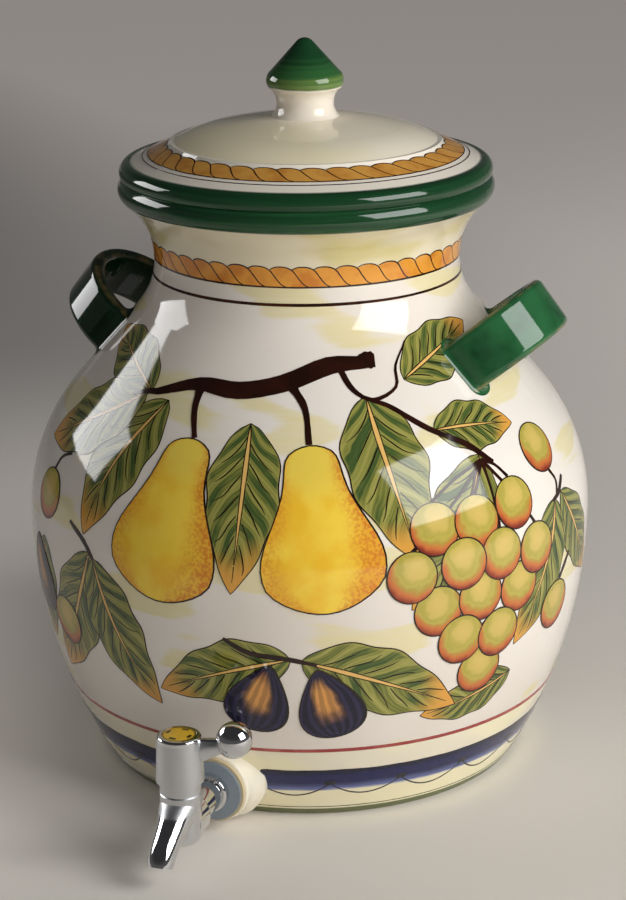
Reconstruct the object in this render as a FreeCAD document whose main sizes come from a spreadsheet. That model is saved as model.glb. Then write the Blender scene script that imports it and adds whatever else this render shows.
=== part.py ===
import FreeCAD, Part
import os
import re
import Sketcher

# Clay water pot with a loose lid, two strap handles and a chromed tap with a turning plug.
# Millimetres and degrees. The origin is the centre of the foot on the table, +Z is up,
# the tap looks along -Y and the handles stand on the X axis.

SIZES = {
    # Pot: lower arc, belly, shoulder arc, straight shoulder, hollow neck and rolled rim
    "belly_radius": 177.6,
    "belly_level": 159.6,
    "lower_arc": 308.8,
    "shoulder_arc": 121.6,
    "shoulder_slope": 40.08,
    "neck_radius": 94.9,
    "neck_arc": 47,
    "neck_flare": 52.1,
    "rim_bead": 8.45,
    "rim_turn": 52.5,
    "mouth_flare": 13.1,
    "wall_thickness": 7,
    "base_thickness": 10,
    "floor_round": 8,
    "foot_round": 2,
    # Handles: straps bent to a half circle, each set on the shoulder by hand in its own place
    "handle_radius": 48,
    "handle_thickness": 10,
    "handle_width": 33.5,
    "handle_round": 4.5,
    "handle_root": 4.5,
    "handle_droop": 2,
    "handle_leg": 28,
    "right_handle_drop": 22.95,
    "right_handle_sink": 1.8,
    "left_handle_drop": 19.45,
    "left_handle_sink": 7.4,
    # Lid: rolled edge, cone, step, dome and the flange that keeps it in the mouth
    "lid_bead": 6.3,
    "lid_bead_inset": 4.15,
    "lid_bead_rise": 3.8,
    "lid_bead_end": 105,
    "lid_wall": 6,
    "cone_inset": 16.2,
    "cone_slope": 23.5,
    "dome_step": 3.8,
    "dome_step_run": 1.25,
    "dome_step_rise": 1.9,
    "dome_edge_width": 21,
    "dome_edge_arc": 85,
    "dome_arc": 260,
    "flange_clearance": 2.5,
    "flange_wall": 6.5,
    "flange_depth": 13,
    "flange_round": 1,
    # Knob
    "knob_base": 21,
    "knob_hollow": 4.1,
    "knob_neck_height": 17.5,
    "knob_neck_top": 22.3,
    "knob_brow": 2,
    "knob_brow_height": 10,
    "knob_cheek": 21.3,
    "knob_height": 47.7,
    "knob_tip": 6.8,
    # Clay collar and hole for the tap, with a flat pad for the nut inside
    "tap_level": 28,
    "tap_hole": 9.5,
    "boss_length": 16.85,
    "boss_radius": 21.5,
    "boss_flare": 4.5,
    "boss_flare_length": 11,
    "boss_flare_bow": 1.1,
    "boss_round": 1.5,
    "pad_radius": 17,
    "pad_rise": 7.4,
    # Seals, washers and nut on the shank
    "gasket_radius": 20,
    "gasket_thickness": 3,
    "washer_radius": 18.5,
    "washer_thickness": 2,
    "inner_gasket_radius": 14,
    "inner_gasket_thickness": 2,
    "inner_washer_radius": 13.5,
    "inner_washer_thickness": 1.5,
    "nut_flats": 24,
    "nut_thickness": 8,
    "nut_chamfer": 1.2,
    "shank_radius": 8,
    "shank_play": 0.2,
    "shank_end": 3,
    # Tap casting: flange, neck, pipe, barrel and spout
    "plate_radius": 11.5,
    "plate_thickness": 5,
    "plate_round": 1.5,
    "pipe_neck_radius": 9.5,
    "pipe_neck_length": 22,
    "pipe_neck_flare": 4,
    "pipe_neck_bow": 0.8,
    "pipe_radius": 12.5,
    "barrel_reach": 44.5,
    "barrel_radius": 12.1,
    "barrel_drop": 12.5,
    "barrel_rise": 20.2,
    "barrel_round": 7,
    "barrel_chamfer": 0.6,
    "bore_radius": 4.5,
    "chamber_radius": 8,
    "chamber_drop": 8,
    "spout_root_level": 17,
    "spout_root_radius": 11,
    "spout_brow_reach": 4,
    "spout_brow_level": 10.5,
    "spout_brow_lean": 70,
    "spout_brow_radius": 11.2,
    "spout_back_reach": 12.5,
    "spout_back_level": 3,
    "spout_back_lean": 48,
    "spout_back_radius": 9.6,
    "spout_bend_reach": 23,
    "spout_bend_level": -4,
    "spout_bend_lean": 50,
    "spout_bend_radius": 8.4,
    "spout_tip_reach": 31.5,
    "spout_tip_level": -13.5,
    "spout_tip_lean": 68,
    "spout_tip_radius": 7.6,
    "channel_radius": 4,
    "channel_bend": 16,
    # Turning plug, its seals and the bonnet ring above it
    "plug_play": 0.05,
    "plug_gap": 0.5,
    "plug_shoulder": 11,
    "plug_chamfer": 0.5,
    "port_radius": 3.8,
    "seal_wire": 0.9,
    "seal_first": 5.9,
    "seal_pitch": 2.7,
    "groove_play": 0.1,
    "inlet_seal_radius": 6,
    "inlet_seal_depth": 1.5,
    "inlet_seal_gap": 0.1,
    "inlet_seal_lip": 2,
    "thrust_gap": 0.1,
    "thrust_thickness": 1.9,
    "thrust_bore_play": 0.2,
    "thrust_rim_play": 0.5,
    "stem_radius": 4,
    "stem_play": 0.05,
    "square_side": 5.5,
    "square_play": 0.05,
    "square_length": 15,
    "bonnet_height": 7.1,
    "bonnet_round": 0.8,
    # Cap, lever and index disc
    "cap_gap": 0.3,
    "cap_height": 28.4,
    "cap_base_radius": 14.1,
    "cap_top_radius": 13,
    "cap_round": 1.6,
    "disc_radius": 10,
    "disc_play": 0.1,
    "disc_recess": 2,
    "disc_thickness": 1.9,
    "disc_crown": 0.5,
    "screw_head_radius": 4,
    "screw_head_height": 2.6,
    "screw_head_play": 0.4,
    "screw_radius": 1.5,
    "screw_grip": 8,
    "screw_play": 0.2,
    "slot_width": 1,
    "slot_depth": 1.2,
    "lever_azimuth": 105,
    "lever_reach": 32,
    "ball_radius": 10.8,
    "ball_rise": 25.9,
    "arm_root_rise": 18.4,
    "arm_root_height": 8,
    "arm_root_width": 5,
    "arm_tip_rise": 22.4,
    "arm_tip_height": 4.2,
    "arm_tip_width": 3.8,
    "arm_tip_sink": 5,
    "arm_stub_radius": 3,
    "arm_stub_length": 4.5,
    "ball_stub_radius": 2.5,
    "ball_stub_length": 5,
    "stub_overlap": 2,
}

doc = FreeCAD.newDocument("WaterPot")
sheet = doc.addObject("Spreadsheet::Sheet", "Sizes")
for row, (word, size) in enumerate(SIZES.items(), start=1):
    sheet.set(f"A{row}", word)
    sheet.set(f"B{row}", str(size))
    sheet.setAlias(f"B{row}", word)
doc.recompute()

parts = []                  # the finished sub-parts, in the order in which they are made


# ---------------------------------------------------------------- tools for all pieces

def cells(text):
    """The expression with every size word turned into its cell of the sheet."""
    words = re.compile(r"[a-z]+(?:_[a-z]+)+")
    return words.sub(lambda word: "Sizes." + word[0] if word[0] in SIZES else word[0], text)


def value(text):
    """What an expression comes to with the sizes as they are."""
    result = sheet.evalExpression(cells(text))
    return float(getattr(result, "Value", result))


def bind(thing, **sizes):
    """Bind properties of an object to expressions on the sheet."""
    for name, text in sizes.items():
        thing.setExpression(name, cells(text))


def place(thing, x="0", y="0", z="0", axis=None, angle=None):
    """Bind an object's place and, about one fixed axis, its turn."""
    if axis:
        turn = FreeCAD.Rotation(FreeCAD.Vector(*axis), 90)
        thing.Placement = FreeCAD.Placement(FreeCAD.Vector(), turn)
        thing.setExpression("Placement.Rotation.Angle", cells(angle))
    for name, text in (("x", x), ("y", y), ("z", z)):
        if text != "0":
            thing.setExpression(f"Placement.Base.{name}", cells(text))
    return thing


def keep(thing, label):
    """Make an object one of the finished sub-parts, under its node's name."""
    thing.Label = label
    parts.append(thing)
    return thing


def to(x, y):
    """Straight edge to a corner of an outline."""
    return {"x": x, "y": y, "radius": None, "hollow": False}


def arc_to(x, y, radius, hollow=False):
    """Arc of a known radius to a corner; a hollow arc has its centre right of the way."""
    return {"x": x, "y": y, "radius": radius, "hollow": hollow}


def bow(start, x, y, height, hollow=False):
    """Arc to a corner from a known start, given by how far it stands off its chord."""
    chord = f"((({x}) - ({start[0]}))^2 + (({y}) - ({start[1]}))^2)"
    return arc_to(x, y, f"{chord} / (8 * {height}) + {height} / 2", hollow)


def pin(sketch, edge, end, direction, size):
    """Hold one coordinate of a corner to the sheet, or to the sketch's own axis."""
    if size == "0":
        axis = -2 if direction == "DistanceX" else -1
        sketch.addConstraint(Sketcher.Constraint("PointOnObject", edge, end, axis))
        return
    row = sketch.addConstraint(Sketcher.Constraint(direction, -1, 1, edge, end, value(size)))
    sketch.setExpression(f"Constraints[{row}]", cells(size))


def arc_edge(start, end, radius, hollow):
    """The shorter arc between two points, with its centre on the side that is asked for."""
    chord = end - start
    across = FreeCAD.Vector(-chord.y, chord.x, 0).normalize()
    reach = max(radius ** 2 - chord.Length ** 2 / 4, 0) ** 0.5
    centre = (start + end) / 2 + across * (-reach if hollow else reach)
    first, last = (end, start) if hollow else (start, end)
    circle = Part.Circle(centre, FreeCAD.Vector(0, 0, 1), radius)
    return Part.ArcOfCircle(circle, circle.parameter(first), circle.parameter(last))


def draw(sketch, corners):
    """Closed outline through the corners, in order round the material on its left."""
    spots = [FreeCAD.Vector(value(corner["x"]), value(corner["y"]), 0) for corner in corners]
    edges = []
    for index, corner in enumerate(corners):
        start, end = spots[index - 1], spots[index]
        if corner["radius"] is None:
            edges.append((sketch.addGeometry(Part.LineSegment(start, end)), 1, 2))
            continue
        geometry = arc_edge(start, end, value(corner["radius"]), corner["hollow"])
        number = sketch.addGeometry(geometry)
        edges.append((number, 2, 1) if corner["hollow"] else (number, 1, 2))
    for index, corner in enumerate(corners):
        edge, _, last = edges[index]
        following = edges[(index + 1) % len(edges)]
        sketch.addConstraint(Sketcher.Constraint("Coincident", edge, last, following[0], following[1]))
        pin(sketch, edge, last, "DistanceX", corner["x"])
        pin(sketch, edge, last, "DistanceY", corner["y"])
        if corner["radius"] is not None:
            row = sketch.addConstraint(Sketcher.Constraint("Radius", edge, value(corner["radius"])))
            sketch.setExpression(f"Constraints[{row}]", cells(corner["radius"]))


def new_sketch(body, plane):
    """Empty sketch on one of a body's own origin planes."""
    support = [item for item in body.Origin.OriginFeatures if item.Role == plane][0]
    sketch = body.newObject("Sketcher::SketchObject", body.Name + "_outline")
    sketch.AttachmentSupport = [(support, "")]
    sketch.MapMode = "FlatFace"
    return sketch


def turned(name, plane, corners, axis="V_Axis"):
    """Body of revolution: upright on the XZ plane, lying along Y on the XY plane."""
    body = doc.addObject("PartDesign::Body", name)
    sketch = new_sketch(body, plane)
    draw(sketch, corners)
    turn = body.newObject("PartDesign::Revolution", name + "_turned")
    turn.Profile = sketch
    turn.ReferenceAxis = (sketch, [axis])
    turn.Angle = 360
    doc.recompute()
    return body


def upright(name, corners):
    return turned(name, "XZ_Plane", corners)


def lying(name, corners):
    return turned(name, "XY_Plane", corners)


def ring(name, inner, outer, near, far):
    """Flat ring along Y, between two places measured outwards from the body's origin."""
    return lying(name, [
        to(inner, f"-({far})"),
        to(outer, f"-({far})"),
        to(outer, f"-({near})" if near != "0" else "0"),
        to(inner, f"-({near})" if near != "0" else "0"),
    ])


def round_off(body, radius, chosen):
    """Fillet the edges of a body's tip that a test picks out."""
    tip = body.Tip
    names = [f"Edge{number}" for number, edge in enumerate(tip.Shape.Edges, start=1) if chosen(edge)]
    fillet = body.newObject("PartDesign::Fillet", body.Name + "_fillet")
    fillet.Base = (tip, names)
    bind(fillet, Radius=radius)
    doc.recompute()


def rod(name, radius, length, x="0", y="0", z="0", axis=None, angle="90"):
    """Cylinder along Z, or turned about an axis; about +X by 90 it runs along -Y."""
    cylinder = doc.addObject("Part::Cylinder", name)
    bind(cylinder, Radius=radius, Height=length)
    return place(cylinder, x, y, z, axis, angle)


def block(name, size_x, size_y, size_z, x, y, z):
    """Box from its lowest corner."""
    box = doc.addObject("Part::Box", name)
    bind(box, Length=size_x, Width=size_y, Height=size_z)
    return place(box, x, y, z)


def fuse(name, *shapes):
    joined = doc.addObject("Part::MultiFuse", name)
    joined.Shapes = list(shapes)
    joined.Refine = False
    return joined


def cut(name, base, *tools):
    """Take the tools out of a base, one after another."""
    for number, tool in enumerate(tools, start=1):
        result = doc.addObject("Part::Cut", f"{name}_{number}")
        result.Base = base
        result.Tool = tool
        result.Refine = False
        base = result
    return base


def at_level(level, radius=None):
    """Test for a round edge at a height on a body of revolution."""
    height = value(level)

    def chosen(edge):
        box = edge.BoundBox
        if abs(box.ZMin - height) > 0.01 or abs(box.ZMax - height) > 0.01:
            return False
        return radius is None or abs(box.XMax - value(radius)) < 0.01
    return chosen


# ---------------------------------------------------------------- places shared by pieces

lower_centre = "(belly_radius - lower_arc)"
shoulder_centre = "(belly_radius - shoulder_arc)"
neck_centre = "(neck_radius + neck_arc)"
arcs_inset = "((shoulder_arc + neck_arc) * (1 - cos(shoulder_slope)))"
straight = f"((belly_radius - neck_radius - {arcs_inset}) / sin(shoulder_slope))"
arcs_rise = "((shoulder_arc + neck_arc) * sin(shoulder_slope))"
neck_level = f"(belly_level + {arcs_rise} + {straight} * cos(shoulder_slope))"
rim_radius = "(neck_radius + neck_arc * (1 - cos(neck_flare)))"
flare_top = f"({neck_level} + neck_arc * sin(neck_flare))"
rim_level = f"({flare_top} + 2 * rim_bead * sin(rim_turn))"
mouth_radius = "(neck_radius - wall_thickness + mouth_flare)"

tap_depth = "(belly_level - tap_level)^2"
tap_wall = f"({lower_centre} + sqrt(lower_arc^2 - {tap_depth}))"
tap_inner_wall = f"({lower_centre} + sqrt((lower_arc - wall_thickness)^2 - {tap_depth}))"
boss_face = f"({tap_wall} + boss_length)"
pad_face = f"({tap_inner_wall} - pad_rise)"
plate_face = f"({boss_face} + gasket_thickness + washer_thickness)"
barrel_place = f"({plate_face} + barrel_reach)"
barrel_top = "(tap_level + barrel_rise)"
bonnet_top = f"({barrel_top} + bonnet_height)"
cap_level = f"({bonnet_top} + cap_gap)"


# ---------------------------------------------------------------- pot

def wall_outline(offset):
    """Line of the clay wall from the belly up to the neck, moved in by an offset."""
    lower = f"(lower_arc - {offset})"
    shoulder = f"(shoulder_arc - {offset})"
    neck = f"(neck_arc + {offset})"
    across, up = "cos(shoulder_slope)", "sin(shoulder_slope)"
    return [
        arc_to(f"belly_radius - {offset}", "belly_level", lower),
        arc_to(f"{shoulder_centre} + {shoulder} * {across}", f"belly_level + {shoulder} * {up}", shoulder),
        to(f"{neck_centre} - {neck} * {across}", f"{neck_level} - {neck} * {up}"),
    ]


def pot_form(name):
    """The pot's outside as one full solid, up to the seat of the lid."""
    foot = f"{lower_centre} + sqrt(lower_arc^2 - belly_level^2)"
    body = upright(name, [
        to("0", "0"),
        to(foot, "0"),
        *wall_outline("0"),
        arc_to(rim_radius, flare_top, "neck_arc", hollow=True),
        arc_to(rim_radius, rim_level, "rim_bead"),
        to("0", rim_level),
    ])
    round_off(body, "foot_round", at_level("0"))
    return body


def pot_cavity():
    """The room inside the pot."""
    floor_depth = "(belly_level - base_thickness)"
    floor = f"{lower_centre} + sqrt((lower_arc - wall_thickness)^2 - {floor_depth}^2)"
    inner_neck = "(neck_arc + wall_thickness)"
    mouth_turn = f"acos(({neck_centre} - {mouth_radius}) / {inner_neck})"
    body = upright("pot_cavity", [
        to("0", "base_thickness"),
        to(floor, "base_thickness"),
        *wall_outline("wall_thickness"),
        arc_to(mouth_radius, f"{neck_level} + {inner_neck} * sin({mouth_turn})", inner_neck, hollow=True),
        to(mouth_radius, rim_level),
        to("0", rim_level),
    ])
    round_off(body, "floor_round", at_level("base_thickness"))
    return body


pot_solid = pot_form("pot_solid")
nut_pad = rod("nut_pad", "pad_radius", tap_wall, y=f"-{pad_face}", z="tap_level", axis=(1, 0, 0))
tap_drill = rod("tap_drill", "tap_hole", tap_wall, y=f"-{pad_face} / 2", z="tap_level", axis=(1, 0, 0))
pot_room = cut("pot_room", pot_cavity(), nut_pad)
keep(cut("pot_body", pot_form("pot_outside"), pot_room, tap_drill), "pot_body")


# ---------------------------------------------------------------- handles

def strap(name, drop, sink):
    """Bent strap on the right shoulder, below the neck's start by a drop and sunk in by the other.

    In its own frame X stands off the shoulder and Y runs round the pot.
    """
    body = doc.addObject("PartDesign::Body", name)
    sketch = new_sketch(body, "XY_Plane")
    inner = "(handle_radius - handle_thickness)"
    draw(sketch, [
        to("-handle_leg", "-handle_radius"),
        to("0", "-handle_radius"),
        arc_to("handle_radius", "0", "handle_radius"),
        arc_to("0", "handle_radius", "handle_radius"),
        to("-handle_leg", "handle_radius"),
        to("-handle_leg", inner),
        to("0", inner),
        arc_to(inner, "0", inner, hollow=True),
        arc_to("0", f"-{inner}", inner, hollow=True),
        to("-handle_leg", f"-{inner}"),
    ])
    pad = body.newObject("PartDesign::Pad", name + "_pad")
    pad.Profile = sketch
    pad.Midplane = True
    bind(pad, Length="handle_width")
    doc.recompute()
    side = value("handle_width") / 2

    def long_edge(edge):
        box = edge.BoundBox
        on_side = abs(abs(box.ZMin) - side) < 0.01 and box.ZLength < 0.01
        leg_end = box.XLength < 0.01
        return on_side and not leg_end

    round_off(body, "min(handle_round; 0.45 * handle_thickness)", long_edge)
    across, up = "cos(shoulder_slope)", "sin(shoulder_slope)"
    along = f"({straight} - {drop})"
    return place(body, x=f"{shoulder_centre} + (shoulder_arc - {sink}) * {across} - {along} * {up}",
                 z=f"belly_level + (shoulder_arc - {sink}) * {up} + {along} * {across}",
                 axis=(0, 1, 0), angle="handle_droop - shoulder_slope")


def meeting_edges(joined, *wholes):
    """Numbers of the edges along which the skins of joined solids meet."""
    skins = [skin for whole in wholes for skin in whole.Shape.Shells]

    def on_all(edge):
        middle = Part.Vertex(edge.valueAt((edge.FirstParameter + edge.LastParameter) / 2))
        return all(skin.distToShape(middle)[0] < 0.001 for skin in skins)
    return [number for number, edge in enumerate(joined.Shape.Edges, start=1) if on_all(edge)]


def luted(name, drop, sink):
    """Strap with a hollow of soft clay smoothed round the root of each leg, cut to the pot."""
    bent = strap(name + "_strap", drop, sink)
    joined = fuse(name + "_joined", pot_solid, bent)
    doc.recompute()
    smoothed = doc.addObject("Part::Fillet", name + "_roots")
    smoothed.Base = joined
    radius = value("handle_root")
    smoothed.Edges = [(number, radius, radius) for number in meeting_edges(joined, pot_solid, bent)]
    return cut(name, smoothed, pot_solid)


keep(luted("handle_right", "right_handle_drop", "right_handle_sink"), "handle_right")
handle_left = keep(doc.addObject("Part::Mirroring", "handle_left"), "handle_left")
handle_left.Source = luted("handle_facing", "left_handle_drop", "left_handle_sink")
handle_left.Normal = FreeCAD.Vector(1, 0, 0)


# ---------------------------------------------------------------- lid

def lid_shell():
    """Lid in its own frame, with its origin level with the seat on the rim."""
    bead_centre = f"({rim_radius} - lid_bead_inset)"
    bead_foot = f"{bead_centre} + sqrt(lid_bead^2 - lid_bead_rise^2)"
    cone_start = f"({bead_centre} + lid_bead * cos(lid_bead_end))"
    cone_start_level = "(lid_bead_rise + lid_bead * sin(lid_bead_end))"
    cone_top = f"({mouth_radius} - cone_inset)"
    cone_top_level = f"({cone_start_level} + ({cone_start} - {cone_top}) * tan(cone_slope))"
    dome_radius = f"({cone_top} - dome_step)"
    dome_level = f"({cone_top_level} + dome_step_rise)"
    brow = f"({dome_radius} - dome_edge_width)"
    edge_share = "(1 - dome_edge_arc / dome_arc)"
    edge_centre = f"({brow} * {edge_share})"
    edge_centre_level = f"({dome_level} - sqrt(dome_edge_arc^2 - ({dome_radius} - {edge_centre})^2))"
    dome_centre = f"({edge_centre_level} - sqrt(dome_arc^2 - {brow}^2) * {edge_share})"
    brow_level = f"({dome_centre} + sqrt(dome_arc^2 - {brow}^2))"
    seat_level = f"({dome_centre} + sqrt(dome_arc^2 - knob_base^2))"
    inner_share = "((dome_arc - lid_wall) / dome_arc)"
    inner_edge = f"({dome_radius} - lid_wall)"
    inner_arc = "(dome_edge_arc - lid_wall)"
    inner_edge_level = f"{edge_centre_level} + sqrt({inner_arc}^2 - ({inner_edge} - {edge_centre})^2)"
    flange_outer = f"({mouth_radius} - flange_clearance)"
    flange_inner = f"({flange_outer} - flange_wall)"
    under_cone = f"({cone_start} - {flange_inner}) * tan(cone_slope) - lid_wall / cos(cone_slope)"
    body = upright("lid_form", [
        to(flange_inner, "-flange_depth"),
        to(flange_outer, "-flange_depth"),
        to(flange_outer, "0"),
        to(bead_foot, "0"),
        arc_to(cone_start, cone_start_level, "lid_bead"),
        to(cone_top, cone_top_level),
        to(f"{cone_top} - dome_step_run", dome_level),
        to(dome_radius, dome_level),
        arc_to(brow, brow_level, "dome_edge_arc"),
        arc_to("knob_base", seat_level, "dome_arc"),
        to("0", seat_level),
        to("0", f"{dome_centre} + dome_arc - lid_wall"),
        arc_to(f"{brow} * {inner_share}", f"{dome_centre} + sqrt(dome_arc^2 - {brow}^2) * {inner_share}",
               "dome_arc - lid_wall", hollow=True),
        arc_to(inner_edge, inner_edge_level, inner_arc, hollow=True),
        to(flange_inner, f"{cone_start_level} + {under_cone}"),
    ])
    round_off(body, "flange_round", at_level("-flange_depth"))
    return place(body, z=rim_level), seat_level


lid_form, knob_seat = lid_shell()
keep(lid_form, "lid_shell")


def lid_knob():
    """Waisted foot, wide brow and pointed top, in a frame on the knob's seat."""
    neck_top = ("knob_neck_top", "knob_neck_height")
    cheek_level = "(knob_neck_height + knob_brow_height)"
    tip_centre = "(knob_height - knob_tip)"
    cheek_drop = f"({cheek_level} - {tip_centre})"
    cheek_distance = f"sqrt(knob_cheek^2 + {cheek_drop}^2)"
    tip_turn = f"(atan2({cheek_drop}; knob_cheek) + acos(knob_tip / {cheek_distance}))"
    tip_start = (f"knob_tip * cos{tip_turn}", f"{tip_centre} + knob_tip * sin{tip_turn}")
    body = upright("knob_form", [
        to("0", "0"),
        to("knob_base", "0"),
        bow(("knob_base", "0"), *neck_top, "knob_hollow", hollow=True),
        bow(neck_top, "knob_cheek", cheek_level, "knob_brow"),
        to(*tip_start),
        arc_to("0", "knob_height", "knob_tip"),
    ])
    return place(body, z=f"{rim_level} + {knob_seat}")


keep(lid_knob(), "lid_knob")


# ---------------------------------------------------------------- collar for the tap

def boss_form():
    """Collar along -Y with a hollow flare at its root, before it is cut to the wall."""
    blank_end = "(boss_length + 2 * boss_radius)"
    body = lying("boss_form", [
        to("tap_hole", "0"),
        to("boss_radius", "0"),
        to("boss_radius", "boss_length - boss_flare_length"),
        bow(("boss_radius", "boss_length - boss_flare_length"),
            "boss_radius + boss_flare", "boss_length", "boss_flare_bow", hollow=True),
        to("boss_radius + boss_flare", blank_end),
        to("tap_hole", blank_end),
    ])
    radius = value("boss_radius")
    round_off(body, "boss_round", lambda edge: abs(edge.BoundBox.YMax) < 0.01
              and abs(edge.BoundBox.XMax - radius) < 0.01)
    return place(body, y=f"-{boss_face}", z="tap_level")


keep(cut("tap_boss", boss_form(), pot_solid), "tap_boss")


# ---------------------------------------------------------------- seals, washers and nut

shank_hole = "(shank_radius + shank_play)"


def on_shank(label, radius, thickness, where):
    """Flat ring on the shank, with its nearer face at a distance from the pot's axis."""
    piece = ring(label + "_form", shank_hole, radius, "0", thickness)
    return keep(place(piece, y=f"-({where})", z="tap_level"), label)


nut_face = f"({pad_face} - inner_gasket_thickness - inner_washer_thickness)"
on_shank("outer_gasket", "gasket_radius", "gasket_thickness", boss_face)
on_shank("outer_washer", "washer_radius", "washer_thickness", f"{boss_face} + gasket_thickness")
on_shank("inner_gasket", "inner_gasket_radius", "inner_gasket_thickness",
         f"{pad_face} - inner_gasket_thickness")
on_shank("inner_washer", "inner_washer_radius", "inner_washer_thickness", nut_face)


def back_nut():
    """Hexagon with flats above and below, its corners turned down on both sides."""
    corner = "(nut_flats / (2 * cos(30)))"
    back = "nut_thickness"
    hexagon = doc.addObject("Part::Prism", "nut_hexagon")
    hexagon.Polygon = 6
    bind(hexagon, Circumradius=corner, Height=back)
    place(hexagon, y=f"{back} - {nut_face}", z="tap_level", axis=(1, 0, 0), angle="90")
    blank = lying("nut_blank", [
        to("shank_radius", "0"),
        to(f"{corner} - nut_chamfer", "0"),
        to(corner, "nut_chamfer / 2"),
        to(corner, f"{back} - nut_chamfer / 2"),
        to(f"{corner} - nut_chamfer", back),
        to("shank_radius", back),
    ])
    place(blank, y=f"-{nut_face}", z="tap_level")
    nut = doc.addObject("Part::Common", "nut_cut")
    nut.Base = hexagon
    nut.Tool = blank
    return nut


keep(back_nut(), "back_nut")


# ---------------------------------------------------------------- tap casting

def tap_pipe():
    """Shank, plate, neck and pipe in one turned length, from the plate's back face."""
    shank_length = f"({plate_face} - {nut_face} + nut_thickness + shank_end)"
    neck_end = "(plate_thickness + pipe_neck_length)"
    body = lying("tap_pipe", [
        to("0", "-barrel_reach"),
        to("pipe_radius", "-barrel_reach"),
        to("pipe_radius", f"-{neck_end} - pipe_neck_flare"),
        bow(("pipe_radius", f"-{neck_end} - pipe_neck_flare"), "pipe_neck_radius", f"-{neck_end}",
            "pipe_neck_bow"),
        to("pipe_neck_radius", "-plate_thickness"),
        to("plate_radius", "-plate_thickness"),
        to("plate_radius", "0"),
        to("shank_radius", "0"),
        to("shank_radius", shank_length),
        to("0", shank_length),
    ])
    front, radius = -value("plate_thickness"), value("plate_radius")
    round_off(body, "min(plate_round; 0.8 * (plate_radius - pipe_neck_radius))",
              lambda edge: abs(edge.BoundBox.YMin - front) < 0.01
              and abs(edge.BoundBox.YMax - front) < 0.01
              and abs(edge.BoundBox.XMax - radius) < 0.01)
    return place(body, y=f"-{plate_face}", z="tap_level")


def tap_barrel():
    """Upright barrel with a rounded bottom and an eased top edge."""
    body = upright("tap_barrel", [
        to("0", "-barrel_drop"),
        to("barrel_radius", "-barrel_drop"),
        to("barrel_radius", "barrel_rise - barrel_chamfer"),
        to("barrel_radius - barrel_chamfer", "barrel_rise"),
        to("0", "barrel_rise"),
    ])
    round_off(body, "barrel_round", at_level("-barrel_drop"))
    return place(body, y=f"-{barrel_place}", z="tap_level")


def spout_section(number, reach, level, lean, radius):
    """Round section of the spout; its lean is the flow's angle below the horizontal."""
    section = doc.addObject("Part::Circle", f"spout_section_{number}")
    bind(section, Radius=radius)
    return place(section, y=f"-{barrel_place} - {reach}", z=f"tap_level + {level}",
                 axis=(1, 0, 0), angle=f"{lean} - 90")


def tap_spout():
    """Horn that leaves the barrel's front and bends down, lofted through round sections."""
    horn = doc.addObject("Part::Loft", "tap_spout")
    horn.Sections = [
        spout_section(1, "0", "spout_root_level", "90", "spout_root_radius"),
        *(spout_section(number, f"spout_{name}_reach", f"spout_{name}_level",
                        f"spout_{name}_lean", f"spout_{name}_radius")
          for number, name in enumerate(("brow", "back", "bend", "tip"), start=2)),
    ]
    horn.Solid = True
    return horn


def tap_channel():
    """Water way from the chamber to the spout's mouth: level, round a bend and down."""
    tip_run = "(-spout_tip_level / sin(spout_tip_lean))"
    corner = f"(spout_tip_reach - {tip_run} * cos(spout_tip_lean))"
    setback = "(channel_bend * tan(spout_tip_lean / 2))"
    start = FreeCAD.Vector(0, 0, 0)
    bend_start = FreeCAD.Vector(0, -value(f"{corner} - {setback}"), 0)
    across, down = value("cos(spout_tip_lean)"), value("sin(spout_tip_lean)")
    flow = FreeCAD.Vector(0, -across, -down)
    turn = FreeCAD.Vector(0, -value(corner), 0)
    bend_end = turn + flow * value(setback)
    finish = turn + flow * (value(tip_run) + value("spout_tip_radius"))
    middle = FreeCAD.Vector(0, -value("sin(spout_tip_lean / 2)"), value("cos(spout_tip_lean / 2)") - 1)
    middle = bend_start + middle * value("channel_bend")
    path = Part.Wire([
        Part.LineSegment(start, bend_start).toShape(),
        Part.Arc(bend_start, middle, bend_end).toShape(),
        Part.LineSegment(bend_end, finish).toShape(),
    ])
    mouth = Part.Wire(Part.makeCircle(value("channel_radius"), start, FreeCAD.Vector(0, -1, 0)))
    channel = doc.addObject("Part::Feature", "tap_channel")
    channel.Shape = path.makePipeShell([mouth], True, False)
    return place(channel, y=f"-{barrel_place}", z="tap_level")


along_y = {"z": "tap_level", "axis": (1, 0, 0)}
shank_back = f"({nut_face} - nut_thickness - shank_end)"
seal_seat = f"({barrel_place} - chamber_radius - inlet_seal_depth)"
chamber_floor = "(tap_level - chamber_drop)"
tap_bore = rod("tap_bore", "bore_radius", f"{barrel_place} - {shank_back}", y=f"-{shank_back}", **along_y)
seal_pocket = rod("seal_pocket", "inlet_seal_radius", "inlet_seal_depth + chamber_radius",
                  y=f"-{seal_seat}", **along_y)
chamber = rod("chamber", "chamber_radius", f"{barrel_top} - {chamber_floor}",
              y=f"-{barrel_place}", z=chamber_floor)
tap_casting = fuse("tap_casting", tap_pipe(), tap_barrel(), tap_spout())
keep(cut("tap_body", tap_casting, tap_bore, seal_pocket, chamber, tap_channel()), "tap_body")

# Rubber ring round the inlet, hollowed on its front to the turning plug
seal_ring = ring("inlet_seal_ring", "channel_radius", "inlet_seal_radius",
                 "0", "inlet_seal_depth + inlet_seal_lip")
place(seal_ring, y=f"-{seal_seat}", z="tap_level")
seal_relief = rod("seal_relief", "chamber_radius + inlet_seal_gap", f"{barrel_top} - {chamber_floor}",
                  y=f"-{barrel_place}", z=chamber_floor)
keep(cut("inlet_seal", seal_ring, seal_relief), "inlet_seal")


# ---------------------------------------------------------------- plug, seals and bonnet

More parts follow.
